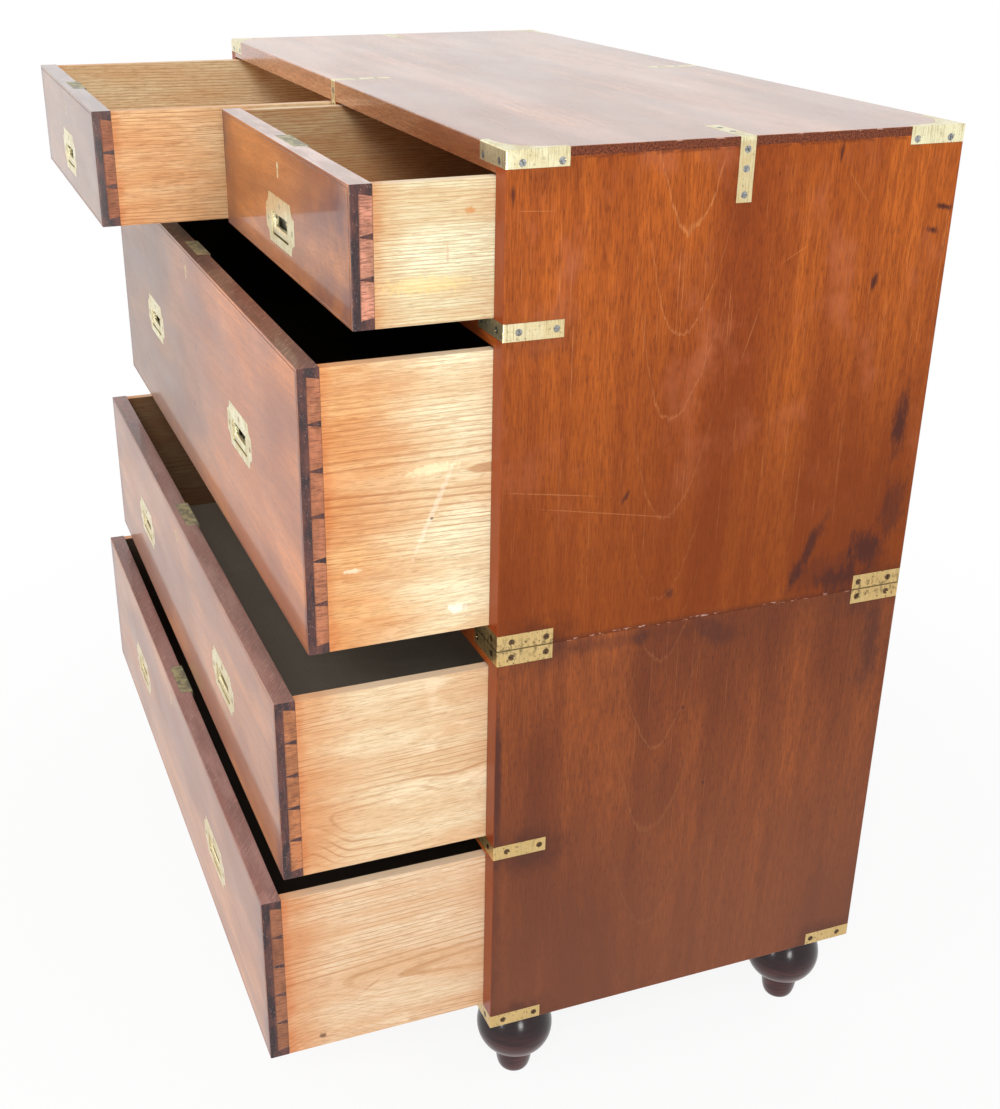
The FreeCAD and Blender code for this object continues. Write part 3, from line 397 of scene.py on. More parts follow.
# front: shade: its colour's multiplier; dusk: the same left of the turn; gloss: its clear polish; smoke: the reach
# of its dark right end; nicks: middle (x, z), half sizes, lean, strength; bloom and sheen: colour and share of
# the pale patches on its top edge, partly dulled polish and partly painted sheen
# box: tone: of the wood; heart: where the boards were cut, as a share of the drawer's height; taper: how fast the
# rings lean along them; gap: between the grain lines, which keep to reach of the heart; plain: how much they fade
# away from it; knots: middle (y, z), reach, lift; glow and glowShare: how far back the polish spread, and how much;
# tails: stain of the dovetails; inside and floor: multipliers there, a painted shade that darkens the drawer's
# inside;
# scuffs: middle (y, z), half sizes, lean, strength and colour
drawerLook = {
    "left_short_drawer": {
        # its grey-blue shade and dusk are partly a painted reflection of the pale surroundings
        "gloss": 1.35, "shade": (0.55, 0.72, 0.95), "dusk": (0.55, 0.72, 0.95), "turn": (-0.1, 0.1), "smoke": 0.055,
        "nicks": [], "bloomAndSheen": ((0.66, 0.54, 0.50), 0.45),
        "tone": (0.95, 0.97, 0.95), "heart": 1.3, "taper": 0.010, "gap": 0.0037, "reach": 2.0, "plain": 0.55,
        "knots": [], "glow": 0.30, "glowShare": 0.60, "tails": (0.36, 0.135, 0.085),
        "inside": (1.0, 1.0, 1.0), "floor": (0.85, 0.70, 0.55), "scuffs": []},
    "right_short_drawer": {
        "gloss": 0.80, "shade": (0.80, 0.92, 1.08), "dusk": (0.86, 0.96, 1.04), "turn": (0.1, 0.3), "smoke": 0.24,
        "nicks": [], "bloomAndSheen": ((0.89, 0.68, 0.60), 0.75),
        "tone": (0.79, 0.96, 1.02), "heart": 1.5, "taper": 0.004, "gap": 0.0029, "reach": 2.0, "plain": 0.30,
        "knots": [], "glow": 0.035, "glowShare": 0.5, "tails": (0.66, 0.27, 0.19),
        "inside": (0.82, 0.62, 0.50), "floor": (0.68, 0.51, 0.38),
        "scuffs": [((-0.250, 0.985), (0.006, 0.004), 0.0, 0.8, (0.60, 0.26, 0.08)),
                   ((-0.290, 0.925), (0.050, 0.010), 0.0, 0.40, (0.86, 0.66, 0.24)),
                   ((-0.270, 0.950), (0.0016, 0.012), 0.0, 0.45, (0.62, 0.34, 0.20))]},
    "deep_drawer": {
        "gloss": 0.94, "shade": (0.86, 0.79, 0.34), "dusk": (0.47, 0.56, 0.50), "turn": (-0.25, 0.30), "smoke": 0.012,
        "nicks": [((-0.022, 0.846), (0.004, 0.004), 0.0, 0.8), ((0.030, 0.759), (0.003, 0.007), 0.3, 0.8),
                  ((-0.003, 0.683), (0.004, 0.005), 0.0, 0.8), ((-0.292, 0.678), (0.003, 0.016), 0.4, 0.8),
                  ((-0.335, 0.652), (0.032, 0.0025), -0.3, 0.8)], "bloomAndSheen": ((0.24, 0.15, 0.13), 0.35),
        "tone": (0.88, 0.98, 1.03), "heart": 0.60, "taper": 0.012, "gap": 0.0046, "reach": 0.120, "plain": 0.30,
        "knots": [], "glow": 0.135, "glowShare": 0.85, "tails": (0.42, 0.155, 0.085),
        "inside": (0.022, 0.019, 0.018), "floor": (0.022, 0.019, 0.018),
        "scuffs": [((-0.282, 0.720), (0.0034, 0.066), 0.42, 0.26, (0.98, 0.88, 0.74)),
                   ((-0.285, 0.758), (0.034, 0.006), -0.08, 0.50, (1.0, 0.86, 0.55)),
                   ((-0.261, 0.615), (0.012, 0.006), 0.1, 0.7, (1.0, 0.92, 0.78)),
                   ((-0.362, 0.669), (0.012, 0.003), 0.0, 0.5, (0.98, 0.84, 0.62)),
                   ((-0.285, 0.710), (0.0020, 0.0020), 0.0, 0.8, (0.10, 0.05, 0.03))]},
    "upper_long_drawer": {
        "gloss": 0.98, "shade": (0.78, 0.86, 0.84), "dusk": (0.72, 0.83, 0.86), "turn": (-0.3, 0.3), "smoke": 0.040,
        "nicks": [], "bloomAndSheen": ((0.48, 0.31, 0.27), 0.50),
        "tone": (0.77, 0.74, 0.74), "heart": 0.25, "taper": 0.03, "gap": 0.0056, "reach": 2.0, "plain": 0.85,
        "knots": [(-0.411, 0.380, 0.045, 0.016), (-0.262, 0.392, 0.060, 0.014)], "glow": 0.07, "glowShare": 0.65,
        "tails": (0.46, 0.175, 0.072), "inside": (0.36, 0.28, 0.23), "floor": (0.42, 0.50, 0.60),
        "scuffs": []},
    "lower_long_drawer": {
        "gloss": 0.88, "shade": (0.76, 0.85, 0.84), "dusk": (0.72, 0.83, 0.86), "turn": (-0.3, 0.3), "smoke": 0.055,
        "nicks": [], "bloomAndSheen": ((0.56, 0.33, 0.29), 0.50),
        "tone": (0.75, 0.70, 0.74), "heart": 0.35, "taper": 0.035, "gap": 0.0050, "reach": 2.0, "plain": 0.60,
        "knots": [(-0.408, 0.140, 0.080, 0.026)], "glow": 0.060, "glowShare": 0.65,
        "tails": (0.25, 0.100, 0.055), "inside": (0.080, 0.072, 0.075), "floor": (0.080, 0.078, 0.085),
        "scuffs": [((-0.408, 0.140), (0.005, 0.004), 0.3, 0.85, (0.13, 0.065, 0.035)),
                   ((-0.353, 0.191), (0.014, 0.002), -0.5, 0.6, (0.42, 0.20, 0.09))]},
}
frontTints = {
    "smoke": (0.15, 0.047, 0.036), "plum": ((0.085, 0.028, 0.022), (0.19, 0.052, 0.034)),
    "plumCloud": (0.055, 0.024, 0.026), "rubbed": (0.55, 0.32, 0.26),
    "end": ((0.030, 0.017, 0.020), (0.110, 0.040, 0.032)), "endFleck": (0.30, 0.19, 0.16),
    "nick": (0.055, 0.022, 0.014),
}


def topEdgeColour(tree, point, along, right, bloomAndSheen):
    # old plum-brown polish with rubbed scratches; its pale patches, partly dulled polish and partly painted sheen,
    # grow towards its right end
    plum = mix(tree, speck(tree, point, (5, 60, 60), 0.35, 0.65), *frontTints["plum"])
    plum = layer(tree, plum, speck(tree, point, (18, 50, 50), 0.52, 0.72), 0.6, frontTints["plumCloud"])
    tint, share = bloomAndSheen
    patchy = speck(tree, point, (12, 60, 60), 0.35, 0.65)
    patchy = calc(tree, "MULTIPLY_ADD", patchy, 0.5 * share, 0.75 * share)
    sheenTowardsRight = calc(tree, "MULTIPLY_ADD", fade(tree, along, right - 0.95, right - 0.30), 0.65, 0.35)
    plum = layer(tree, plum, patchy, sheenTowardsRight, tint)
    rubbed = speck(tree, place(tree, point, turn=(0, 0, 0.6)), (60, 900, 200), 0.58, 0.64)
    return layer(tree, plum, rubbed, 0.6, frontTints["rubbed"])


def frontWood(name, number):
    look = drawerLook[name]
    low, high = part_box(name + "_front")
    wood = varied(mahogany, deep=(0.38, 0.098, 0.024), light=(0.80, 0.255, 0.060), streak=(0.26, 0.065, 0.022),
                  face=low.y, heart=low.z + 0.35 * (high.z - low.z), heartDepth=0.03, taper=0.05, ringGap=0.011,
                  offset=(7.7 + number, 3.1, 5.0 - number), cloud=(10, 10, 3.2), bands=(26, 26, 2.6), lineShow=0.14,
                  fibreShow=0.25, poreShow=0.25, hairShow=0.15)
    tree = newTree(name + "FrontWood")
    point = objectPoint(tree)
    along = axesOf(tree, point)["X"]
    normal = normalOf(tree)
    grain = grainPoint(tree, point, "X", "Z")
    figure = woodFigure(tree, grain, wood)
    shade = mix(tree, fade(tree, along, *look["turn"]), look["dusk"], look["shade"])
    colour = mix(tree, 1.0, woodColour(tree, figure, wood), shade, "MULTIPLY")
    # smoke and wax gathered at both ends of the face
    ends = calc(tree, "MAXIMUM", fade(tree, along, low.x + 55 * mm, low.x),
                fade(tree, along, high.x - look["smoke"], high.x))
    cloudy = fade(tree, noise(tree, place(tree, point, (22, 22, 22)), 3.0), 0.3, 0.7)
    colour = layer(tree, colour, ends, cloudy, frontTints["smoke"])
    plum = topEdgeColour(tree, point, along, high.x, look["bloomAndSheen"])
    colour = mix(tree, facing(tree, normal["Z"]), colour, plum)
    dark = mix(tree, speck(tree, point, (90, 90, 30), 0.36, 0.64), *frontTints["end"])
    dark = layer(tree, dark, speck(tree, point, (700, 700, 500), 0.60, 0.70), 0.6, frontTints["endFleck"])
    colour = mix(tree, facing(tree, calc(tree, "ABSOLUTE", normal["X"])), colour, dark)
    # the inner face of the front takes the same painted shade as the drawer's inside
    tone = tuple(a * b for a, b in zip(look["inside"], ash["deep"]))
    inner = layer(tree, tone, figure["fibre"], 0.5, tuple(0.5 * c for c in tone))
    colour = mix(tree, facing(tree, normal["Y"]), colour, inner)
    rag = noise(tree, place(tree, point, (120, 120, 120)), 3.0)
    for centre, size, lean, strength in look["nicks"]:
        mark = spot(tree, point, rag, (centre[0], low.y, centre[1]), (size[0], 2 * mm, size[1]), lean, 0.5, 0.6, "Y")
        colour = layer(tree, colour, mark, strength, frontTints["nick"])
    smear = noise(tree, place(tree, grain, (20, 20, 7)), 4.0)
    rough = calc(tree, "MULTIPLY_ADD", smear, 0.22, 0.24)
    surfaceOf(tree, {"Base Color": colour, "Roughness": rough, "Normal": woodBump(tree, figure, 0.05),
                     "Specular IOR Level": 0.16, "Specular Tint": (1.0, 0.93, 0.86, 1.0),
                     "Coat Weight": 0.46 * look["gloss"], "Coat Roughness": 0.07})


tailLength = 12 * mm
liningTints = {
    "bare": (1.0, 0.86, 0.62), "paintedLightOnTop": (0.98, 0.76, 0.54), "glow": (0.84, 0.45, 0.21),
    "soaked": (0.84, 0.42, 0.20), "fleck": (0.12, 0.040, 0.026), "tailRim": (0.10, 0.030, 0.022),
    "knifed": (0.10, 0.035, 0.02),
}


def tailColour(tree, point, back, colour, look, outside, tails, side):
    # the tails took the front's polish, up to a knifed line, and some of it spread along the side
    base, reach = tails + tailLength, look["glow"]
    uneven = noise(tree, place(tree, point, (8, 8, 30)), 4.0, 0.6)
    spread = calc(tree, "MULTIPLY_ADD", uneven, -0.9 * reach, calc(tree, "ADD", back, 0.45 * reach))
    glow = part(tree, fade(tree, spread, base + reach, base), outside)
    colour = mix(tree, part(tree, glow, look["glowShare"]), colour, liningTints["glow"], "MULTIPLY")
    mottled = calc(tree, "MULTIPLY_ADD", noise(tree, place(tree, point, (60, 60, 60)), 3.0), 20 * mm, back)
    soaked = fade(tree, mottled, base + 22 * mm, base + 9 * mm)
    colour = mix(tree, part(tree, soaked, 0.45), colour, liningTints["soaked"], "MULTIPLY")
    rag = noise(tree, place(tree, point, (230, 230, 230)), 3.0)
    for centre, size, lean, strength, tint in look["scuffs"]:
        mark = spot(tree, point, rag, (side, *centre), (markDepth, *size), lean, 0.7, 0.6)
        colour = layer(tree, colour, mark, strength, tint)
    smoke = speck(tree, point, (70, 70, 34), 0.36, 0.64)
    red = mix(tree, smoke, look["tails"], tuple(0.55 * c for c in look["tails"]))
    red = mix(tree, 0.80, colour, red)
    red = layer(tree, red, speck(tree, point, (110, 110, 850), 0.48, 0.62), 0.60, liningTints["fleck"])
    red = layer(tree, red, fade(tree, back, tails + 2 * mm, tails), 0.4, liningTints["tailRim"])
    colour = mix(tree, fade(tree, back, base + 0.5 * mm, base - 0.5 * mm), colour, red)
    knifed = band(tree, back, base - 0.1 * mm, base + 0.1 * mm, 0.35 * mm)
    return layer(tree, colour, knifed, 0.7, liningTints["knifed"])


def liningWood(name, piece, along, across, wood, inward, tails=None, within="inside"):
    # inward(tree, axes, normal) is 1 on the faces inside the drawer; tails is where the dovetails start
    look = drawerLook[name]
    wood = varied(wood, **{key: tuple(a * b for a, b in zip(wood[key], look["tone"])) for key in ("deep", "light")})
    tree = newTree(name + piece + "Wood")
    point = objectPoint(tree)
    axes = axesOf(tree, point)
    normal = normalOf(tree)
    figure = woodFigure(tree, grainPoint(tree, point, along, across), wood)
    colour = woodColour(tree, figure, wood)
    inside = inward(tree, axes, normal)
    colour = layer(tree, colour, speck(tree, point, (34, 12, 34), 0.60, 0.70, 5.0), 0.28, liningTints["bare"])
    # painted light: the faces that look up are made paler
    colour = layer(tree, colour, facing(tree, normal["Z"]), 0.65, liningTints["paintedLightOnTop"])
    if tails is not None:
        outside = calc(tree, "SUBTRACT", 1.0, inside)
        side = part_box(name + "_sides")[1].x
        colour = tailColour(tree, point, axes["Y"], colour, look, outside, tails, side)
    # painted shade: the faces inside the drawer are darkened by its inside and floor multipliers
    colour = mix(tree, inside, colour, look[within], "MULTIPLY")
    surfaceOf(tree, {"Base Color": colour, "Roughness": 0.6, "Specular IOR Level": 0.3,
                     "Normal": woodBump(tree, figure, wood["bump"])})


def insideOfSides(middle):
    def inward(tree, axes, normal):
        away = calc(tree, "MULTIPLY", normal["X"], calc(tree, "SUBTRACT", axes["X"], middle))
        return fade(tree, away, -0.05, -0.12)
    return inward


for number, name in enumerate(drawers):
    look = drawerLook[name]
    low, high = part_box(name + "_sides")
    frontWood(name, number)
    liningWood(name, "Side", "Y", "Z", varied(
        ash, heart=low.z + look["heart"] * (high.z - low.z), heartDepth=0.025, taper=look["taper"],
        twoBoards=True, middle=0.5 * (low.x + high.x), face=0.5 * (high.x - low.x),
        ringGap=look["gap"], lineReach=look["reach"], zoneDepth=look["plain"], knots=look["knots"],
        offset=(0.4 + number, 1.1 * number, 3.2 - number)), insideOfSides(0.5 * (low.x + high.x)), low.y)
    liningWood(name, "Back", "X", "Z", varied(ash, face=high.y, offset=(number, 3.3, 1.7)),
               lambda tree, axes, normal: facing(tree, normal["Y"], -1))
    liningWood(name, "Bottom", "X", "Y", varied(ash, face=low.z, offset=(number, 0.3, 4.7)),
               lambda tree, axes, normal: facing(tree, normal["Z"]), within="floor")


boardWidth = 166.7 * mm
plainTints = {"dust": (0.15, 0.085, 0.048), "joint": (0.030, 0.017, 0.010)}


def plainWood(name, along, across, wood):
    # unpolished boards of the back and the dustboards
    tree = newTree(name)
    point = objectPoint(tree)
    figure = woodFigure(tree, grainPoint(tree, point, along, across), wood)
    dust = speck(tree, point, (9, 9, 5), 0.4, 0.7, 5.0)
    colour = layer(tree, woodColour(tree, figure, wood), dust, 0.4, plainTints["dust"])
    # joints between the boards, and the gap between the two cases
    axes = axesOf(tree, point)
    board = calc(tree, "FRACT", calc(tree, "DIVIDE", axes[across], boardWidth))
    joint = fade(tree, calc(tree, "ABSOLUTE", calc(tree, "SUBTRACT", board, 0.5)), 0.016, 0.005)
    gap = band(tree, axes["Z"], caseJoint - 0.2 * mm, caseJoint + 0.6 * mm, 0.6 * mm)
    colour = layer(tree, colour, calc(tree, "MAXIMUM", joint, gap), 0.85, plainTints["joint"])
    surfaceOf(tree, {"Base Color": colour, "Roughness": 0.75, "Specular IOR Level": 0.25,
                     "Normal": woodBump(tree, figure, 0.3)})


pine = varied(ash, deep=(0.27, 0.130, 0.060), light=(0.42, 0.225, 0.105), late=(0.22, 0.100, 0.043),
              line=(0.15, 0.07, 0.03), streak=(0.20, 0.10, 0.045), poreColour=(0.09, 0.05, 0.03),
              ringGap=0.007, taper=0.05, wander=0.05)
plainWood("backBoardWood", "Z", "X", varied(pine, face=caseBack, heart=0.1))
plainWood("dustboardWood", "X", "Y", varied(pine, face=0.8, heart=0.0))

# metal

brass = {
    "bright": (0.93, 0.87, 0.58), "dull": (0.66, 0.54, 0.29), "old": (0.62, 0.400, 0.140),
    "tarnish": (0.11, 0.07, 0.030), "brushed": (0.38, 0.32, 0.15), "cup": (0.84, 0.82, 0.74),
    "cupShade": (0.030, 0.024, 0.018), "cupWall": (0.10, 0.085, 0.055), "dulled": (0.17, 0.155, 0.120),
    "lock": ((0.15, 0.135, 0.105), (0.42, 0.38, 0.19)), "strapHalfWidth": 12 * mm, "liningDepth": 2.5 * mm,
}
steel = {"bright": (0.40, 0.42, 0.42), "rusty": (0.14, 0.085, 0.045), "speck": (0.09, 0.06, 0.04)}


def cupColour(tree, axes, bails):
    # the polished back of a handle's cup, with painted shade beside the bail
    shade = 0.0
    for low, high in bails:
        beside = band(tree, axes["X"], low.x, low.x + 3 * mm, 2 * mm)
        below = fade(tree, axes["Z"], low.z + 7 * mm, low.z + 4.5 * mm)
        under = part(tree, band(tree, axes["X"], low.x, high.x - 5 * mm, 2 * mm), below)
        shade = calc(tree, "MAXIMUM", shade, calc(tree, "MAXIMUM", beside, under))
    return layer(tree, brass["cup"], shade, 0.9, brass["cupShade"])


def brassMetal(name, faceY=None, dullness=0.0, newest=1.0, oldest=0.72, bails=(), liningY=None):
    # the brass is older lower down, from newest to oldest
    tree = newTree(name)
    point = objectPoint(tree)
    axes = axesOf(tree, point)
    cast = speck(tree, point, (45, 45, 45), 0.35, 0.68, 4.0)
    colour = layer(tree, brass["bright"], cast, 0.75, brass["dull"])
    aged = fade(tree, axes["Z"], newest, oldest)
    # the straps over the middle are duller, and the plates blacken towards the joint of the two cases
    strap = part(tree, band(tree, axes["Y"], -brass["strapHalfWidth"], brass["strapHalfWidth"], 1 * mm),
                 fade(tree, axes["Z"], chestTop - 2.3 * mm, chestTop - 6.3 * mm))
    colour = layer(tree, colour, calc(tree, "MAXIMUM", aged, part(tree, strap, 0.45)), 0.86, brass["old"])
    colour = layer(tree, colour, speck(tree, point, (1000, 1000, 40), 0.50, 0.66), 0.62, brass["brushed"])
    specks = speck(tree, point, (270, 270, 270), 0.59, 0.66, 4.0)
    colour = layer(tree, colour, specks, calc(tree, "MULTIPLY_ADD", aged, 0.45, 0.35), brass["tarnish"])
    fromJoint = calc(tree, "ABSOLUTE", calc(tree, "SUBTRACT", axes["Z"], caseJoint + 0.15 * mm))
    grimy = part(tree, fade(tree, fromJoint, 16 * mm, 2 * mm), speck(tree, point, (210, 210, 130), 0.48, 0.60, 4.0))
    seam = part(tree, fade(tree, fromJoint, 1.2 * mm, 0.4 * mm), 0.85)
    colour = mix(tree, calc(tree, "MAXIMUM", part(tree, grimy, 0.65), seam), colour, brass["tarnish"])
    if faceY is not None:
        # tarnish and painted shade darken the cup's sunk walls; its back, deeper in, takes cupColour
        sunk = fade(tree, axes["Y"], faceY + 1.0 * mm, faceY + 1.8 * mm)
        deep = fade(tree, axes["Y"], faceY + 3.5 * mm, faceY + 6.0 * mm)
        colour = layer(tree, colour, sunk, 0.9, mix(tree, deep, brass["cupWall"], cupColour(tree, axes, bails)))
    if liningY is not None:
        # a lock is dull, and the lining of its keyhole in front of it bright
        grey = mix(tree, speck(tree, point, (110, 110, 110), 0.40, 0.62), *brass["lock"])
        colour = layer(tree, colour, fade(tree, axes["Y"], liningY, liningY + 0.3 * mm), 0.85, grey)
    elif dullness:
        colour = mix(tree, dullness, colour, brass["dulled"])
    rub = noise(tree, place(tree, point, (1500, 1500, 60)), 2.0)
    bump = add(tree, "Bump", {"Height": rub, "Strength": 0.10, "Distance": 0.2 * mm}).outputs[0]
    rough = calc(tree, "MULTIPLY_ADD", cast, 0.12, 0.27 + 0.2 * dullness)
    surfaceOf(tree, {"Base Color": colour, "Metallic": 0.85 - 0.5 * dullness, "Roughness": rough, "Normal": bump})


def screwMetal(name):
    # the screws are rustier lower down
    tree = newTree(name)
    point = objectPoint(tree)
    low = fade(tree, axesOf(tree, point)["Z"], 1.02, 0.62)
    colour = mix(tree, low, steel["bright"], steel["rusty"])
    colour = layer(tree, colour, speck(tree, point, (420, 420, 420), 0.42, 0.62), 0.6, steel["speck"])
    surfaceOf(tree, {"Base Color": colour, "Metallic": 1.0, "Roughness": 0.4})


brassMetal("strapBrass")
brassMetal("bailBrass", dullness=0.15, oldest=-0.7)
brassMetal("screwBrass", dullness=0.45)
for name in drawers:
    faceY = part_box(name + "_front")[0].y
    bails = [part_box(node) for node in sorted(nodes) if node.startswith(name) and node.endswith("_bail")]
    brassMetal(name + "HandleBrass", faceY, oldest=-0.7, bails=bails)
    brassMetal(name + "LockBrass", dullness=0.85, oldest=-0.7, liningY=faceY + brass["liningDepth"])
screwMetal("screwSteel")


def footWood(name):
    # ebonised, and blackest at the neck, darkened there as painted shade under the case
    tree = newTree(name)
    point = objectPoint(tree)
    height = axesOf(tree, point)["Z"]
    turned = speck(tree, point, (30, 30, 420), 0.35, 0.7)
    colour = mix(tree, turned, (0.026, 0.008, 0.009), (0.095, 0.026, 0.024))
    colour = layer(tree, colour, fade(tree, height, 45 * mm, 80 * mm), 0.85, (0.008, 0.004, 0.006))
    surfaceOf(tree, {"Base Color": colour, "Roughness": 0.30, "Specular IOR Level": 0.08,
                     "Coat Weight": 0.55, "Coat Roughness": 0.17})


footWood("turnedFootWood")
print("materials made:", len(bpy.data.materials))


# the carried-over nodes

mergeDistance = 0.01 * mm
screwLimit = 16 * mm
arris = {"width": 0.7 * mm, "segments": 2, "sharp": 35, "flat": 1.0}


def dress(nodeName, *materialNames):
    mesh = nodes[nodeName].data
    mesh.materials.clear()
    for name in materialNames:
        mesh.materials.append(bpy.data.materials[name])


def soften(nodeName):
    # a worn arris on every sharp edge
    piece = nodes[nodeName]
    for face in piece.data.polygons:
        face.use_smooth = False
    weld = piece.modifiers.new("weld", "WELD")
    weld.merge_threshold = mergeDistance
    flat = piece.modifiers.new("flat", "DECIMATE")
    flat.decimate_type = "DISSOLVE"
    flat.angle_limit = math.radians(arris["flat"])
    bevel = piece.modifiers.new("arris", "BEVEL")
    bevel.width = arris["width"]
    bevel.segments = arris["segments"]
    bevel.limit_method = "ANGLE"
    bevel.angle_limit = math.radians(arris["sharp"])


def smallParts(mesh, limit):
    # faces of the closed solids in a node that fit inside the limit: its screws
    loose, faces, found = set(), [], []
    for face in mesh.polygons:
        faces.append(face)
        corners = [tuple(round(c, 7) for c in mesh.vertices[v].co) for v in face.vertices]
        for a, b in zip(corners, corners[1:] + corners[:1]):
            if (b, a) in loose:
                loose.remove((b, a))
            elif a != b:
                loose.add((a, b))
        if not loose:
            points = [mesh.vertices[v].co for each in faces for v in each.vertices]
            size = max(max(p[k] for p in points) - min(p[k] for p in points) for k in range(3))
            if size < limit:
                found.extend(faces)
            faces = []
    return found


dress("upper_sides", "upperSideWood")
dress("lower_sides", "lowerSideWood")
dress("upper_top", "topWood")
for name in ("upper_drawer_rail", "lower_drawer_rail", "lower_top", "lower_bottom", "upper_bottom"):
    dress(name, "railWood")
dress("upper_divider", "dividerWood")
for name in ("upper_back", "lower_back"):
    dress(name, "backBoardWood")
for name in ("upper_dustboard", "lower_dustboard", "locating_pegs"):
    dress(name, "dustboardWood")
dress("feet", "turnedFootWood")
for name in drawers:
    dress(name + "_front", name + "FrontWood")
    dress(name + "_sides", name + "SideWood")
    dress(name + "_back", name + "BackWood")
    dress(name + "_bottom", name + "BottomWood")
    dress(name + "_lock", name + "LockBrass")
    dress(name + "_lock_bolt", name + "LockBrass")
for name, node in nodes.items():
    if name.endswith("_brass") or "handle_plate" in name:
        owner = next((drawer for drawer in drawers if name.startswith(drawer)), None)
        dress(name, owner + "HandleBrass" if owner else "strapBrass", "screwBrass" if owner else "screwSteel")
        screws = smallParts(node.data, screwLimit)
        for face in screws:
            face.material_index = 1
        print(name, "screw faces", len(screws))
softened = ("upper_sides", "lower_sides", "upper_top", "upper_divider", "upper_drawer_rail", "lower_drawer_rail")
for name in nodes:
    if name.endswith(("_front", "_drawer_sides")) or name in softened:
        soften(name)
print("nodes dressed")


# new pieces

def newPiece(name, made, materialName, body):
    mesh = bpy.data.meshes.new(name)
    made.to_mesh(mesh)
    made.free()
    mesh.materials.append(bpy.data.materials[materialName])
    piece = bpy.data.objects.new(name, mesh)
    bpy.context.scene.collection.objects.link(piece)
    for face in mesh.polygons:
        face.use_smooth = True
    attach(piece, body)
    return piece


# profile: radius and drop below the case; inset: of its middle from the case's faces
turnedFoot = {
    "profile": [(0, 0), (19, 0), (23, 0.6), (26.6, 4.2), (30.4, 9.4), (33.8, 15), (36.8, 21), (39.3, 27.2),
                (41.3, 33.8), (42.6, 40.5), (43, 47), (42.2, 54), (40, 61), (36.2, 67.8), (31, 73.4), (26, 76.8),
                (22.8, 78.4), (21.4, 79.2), (21.2, 80.2), (21.7, 81.4), (21.5, 83.6), (21, 88), (20.4, 93),
                (19.6, 98), (18.6, 102.5), (17.3, 106), (15.6, 108.5), (13, 109.8), (8, 110), (0, 110)],
    "steps": 36, "inset": 51,
}


def makeFeet():
    made = bmesh.new()
    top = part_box("lower_bottom")[0].z
    low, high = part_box("lower_sides")[0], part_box("lower_back")[1]
    inset = turnedFoot["inset"] * mm
    for x in (low.x + inset, -low.x - inset):
        for y in (low.y + inset, high.y - inset):
            points = [made.verts.new((x + r * mm, y, top - drop * mm)) for r, drop in turnedFoot["profile"]]
            edges = [made.edges.new(pair) for pair in zip(points, points[1:])]
            bmesh.ops.spin(made, geom=points + edges, cent=(x, y, 0), axis=(0, 0, 1), angle=2 * math.pi,
                           steps=turnedFoot["steps"], use_merge=True)
    bmesh.ops.remove_doubles(made, verts=made.verts, dist=mergeDistance)
    bmesh.ops.recalc_face_normals(made, faces=made.faces)
    piece = newPiece("turned_feet", made, "turnedFootWood", "lower_case")
    smooth = piece.modifiers.new("smooth", "SUBSURF")
    smooth.levels = smooth.render_levels = 1
    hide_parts("feet")


bailShape = {"leg": 6.5, "bar": 8.0, "outerRound": 5.5, "innerRound": 2.5, "edgeRound": 1.9, "thick": 5.0,
             "pinRadius": 1.6, "sideGap": 2.5}
bailSteps = {"corner": 6, "edge": 4, "eye": 32, "pin": 24, "sharp": 40}


def makeBail(node):
    low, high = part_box(node)
    shape = {key: value * mm for key, value in bailShape.items()}
    x, y = 0.5 * (low.x + high.x), 0.5 * (low.y + high.y)
    half = 0.5 * (high.x - low.x) - shape["sideGap"]
    eyeRadius = 0.5 * shape["thick"]
    foot, pin = low.z, high.z - eyeRadius
    sill, gap = foot + shape["bar"], half - shape["leg"]
    made = bmesh.new()
    corners = [made.verts.new((x + a, low.y, b)) for a, b in
               ((-half, pin), (-half, foot), (half, foot), (half, pin),
                (gap, pin), (gap, sill), (-gap, sill), (-gap, pin))]
    made.faces.new(corners)
    for pair, size in ((corners[1:3], "outerRound"), (corners[5:7], "innerRound")):
        bmesh.ops.bevel(made, geom=pair, offset=shape[size], offset_type="OFFSET", affect="VERTICES",
                        segments=bailSteps["corner"], profile=0.5, material=-1)
    sheet = bmesh.ops.extrude_face_region(made, geom=made.faces[:])
    moved = [item for item in sheet["geom"] if isinstance(item, bmesh.types.BMVert)]
    bmesh.ops.translate(made, verts=moved, vec=(0, high.y - low.y, 0))
    rims = [edge for edge in made.edges if abs(edge.verts[0].co.y - edge.verts[1].co.y) < 0.1 * mm]
    bmesh.ops.bevel(made, geom=rims, offset=shape["edgeRound"], offset_type="OFFSET", affect="EDGES",
                    segments=bailSteps["edge"], profile=0.5, material=-1)
    across = Matrix.Rotation(math.radians(90), 4, "Y")
    for side in (-1, 1):
        for kind, out, radius, length in (("eye", half - 0.5 * shape["leg"], eyeRadius, shape["leg"]),
                                          ("pin", half, shape["pinRadius"], 2 * shape["sideGap"])):
            at = Matrix.Translation((x + side * out, y, pin))
            bmesh.ops.create_cone(made, cap_ends=True, segments=bailSteps[kind], radius1=radius, radius2=radius,
                                  depth=length, matrix=at @ across)
    bmesh.ops.recalc_face_normals(made, faces=made.faces)
    piece = newPiece(node + "_cast", made, "bailBrass", node)
    sharp = piece.modifiers.new("sharp", "EDGE_SPLIT")
    sharp.split_angle = math.radians(bailSteps["sharp"])
    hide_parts(node)


makeFeet()
for name in list(nodes):
    if name.endswith("_bail"):
        makeBail(name)
print("feet and handles made")

# camera, light and floor

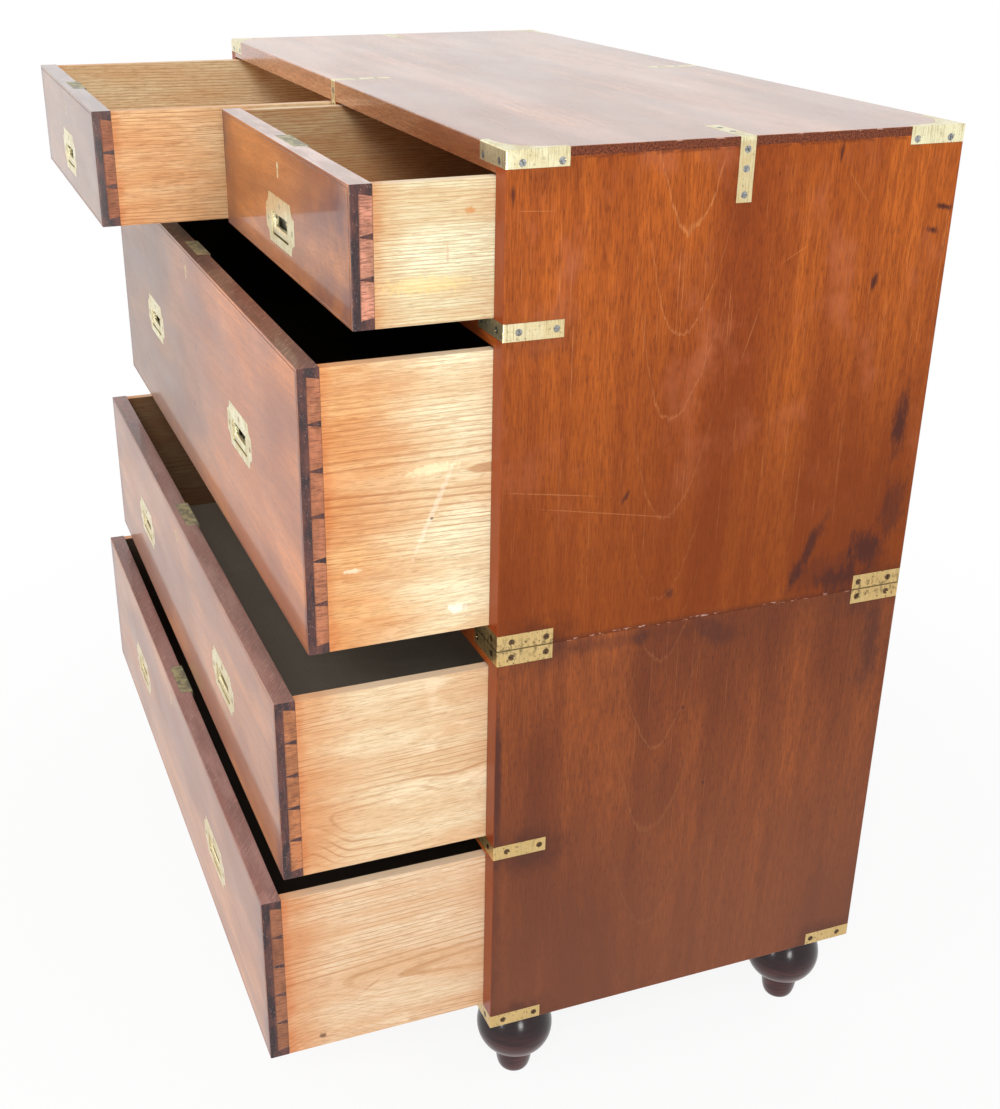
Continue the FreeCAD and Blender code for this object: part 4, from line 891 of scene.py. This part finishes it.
camera = {"at": (1.6358, -0.7013, 1.2318), "right": (0.35475, 0.93495, 0.00495),
          "down": (0.40127, -0.14747, -0.90401), "forward": (-0.84447, 0.32268, -0.42749),
          "lens": 47.65, "sensor": 36.0, "shift": (0.0377, 0.0214)}
lights = {
    "key": {"at": (3.0, -1.5, 2.9), "aim": (0.2, -0.1, 0.5), "size": (1.3, 1.3), "power": 70},
    "sideWindow": {"at": (3.50, -0.38, 0.27), "aim": (0.45, -0.18, 0.08), "size": (0.60, 0.50), "power": 19},
    "frontWindow": {"at": (1.95, -2.95, 0.27), "aim": (0.45, -0.18, 0.08), "size": (0.40, 0.50), "power": 15},
    "fill": {"at": (-2.4, -3.0, 2.2), "aim": (0, -0.2, 0.6), "size": (2.4, 2.4), "power": 42},
}
# the world and the floor look whiter than the light they give; the floor keeps a soft shade round the feet
studio = {"white": (1, 1, 1, 1), "worldLight": 0.60, "floorSize": 15.0, "floorColour": (0.88, 0.88, 0.88, 1),
          "shadeFrom": 1.5, "shadeTo": 0.5, "shade": 0.10}


def makeCamera():
    data = bpy.data.cameras.new("camera")
    data.sensor_width = camera["sensor"]
    data.lens = camera["lens"]
    data.shift_x, data.shift_y = camera["shift"]
    made = bpy.data.objects.new("camera", data)
    bpy.context.scene.collection.objects.link(made)
    turn = Matrix((Vector(camera["right"]), -Vector(camera["down"]), -Vector(camera["forward"]))).transposed()
    made.matrix_world = Matrix.Translation(camera["at"]) @ turn.to_4x4()
    bpy.context.scene.camera = made


def areaLight(name, at, aim, size, power):
    data = bpy.data.lights.new(name, "AREA")
    data.shape = "RECTANGLE"
    data.size, data.size_y = size
    data.energy = power
    made = bpy.data.objects.new(name, data)
    bpy.context.scene.collection.objects.link(made)
    made.location = at
    made.rotation_euler = (Vector(aim) - Vector(at)).to_track_quat("-Z", "Y").to_euler()


def seenDirectly(tree):
    # 1 where the eye or a mirror looks, 0 where light is gathered
    rays = add(tree, "LightPath").outputs
    mirrored = calc(tree, "MAXIMUM", rays["Is Glossy Ray"], rays["Is Transmission Ray"])
    return calc(tree, "MAXIMUM", rays["Is Camera Ray"], mirrored)


def makeWorld():
    world = bpy.data.worlds.new("studio")
    bpy.context.scene.world = world
    world.use_nodes = True
    tree = world.node_tree
    tree.nodes.clear()
    light = studio["worldLight"]
    strength = calc(tree, "MULTIPLY_ADD", seenDirectly(tree), 1.0 - light, light)
    white = add(tree, "Background", {"Color": studio["white"], "Strength": strength})
    add(tree, "OutputWorld", {"Surface": white.outputs[0]})


def makeFloor():
    mesh = bpy.data.meshes.new("floor")
    made = bmesh.new()
    bmesh.ops.create_grid(made, x_segments=1, y_segments=1, size=studio["floorSize"])
    made.to_mesh(mesh)
    made.free()
    floor = bpy.data.objects.new("floor", mesh)
    bpy.context.scene.collection.objects.link(floor)
    tree = newTree("paleFloor")
    away = add(tree, "VectorMath", {0: objectPoint(tree)}, operation="LENGTH").outputs["Value"]
    near = fade(tree, away, studio["shadeFrom"], studio["shadeTo"])
    share = part(tree, seenDirectly(tree), calc(tree, "MULTIPLY_ADD", near, -studio["shade"], 1.0))
    lit = add(tree, "BsdfDiffuse", {"Color": studio["floorColour"]})
    white = add(tree, "Emission", {"Color": studio["white"], "Strength": 1.0})
    both = add(tree, "MixShader", {0: share, 1: lit.outputs[0], 2: white.outputs[0]})
    add(tree, "OutputMaterial", {"Surface": both.outputs[0]})
    mesh.materials.append(bpy.data.materials["paleFloor"])


makeCamera()
makeWorld()
makeFloor()
for name, light in lights.items():
    areaLight(name, **light)
bpy.context.scene.view_settings.view_transform = "Standard"
print("stage set")
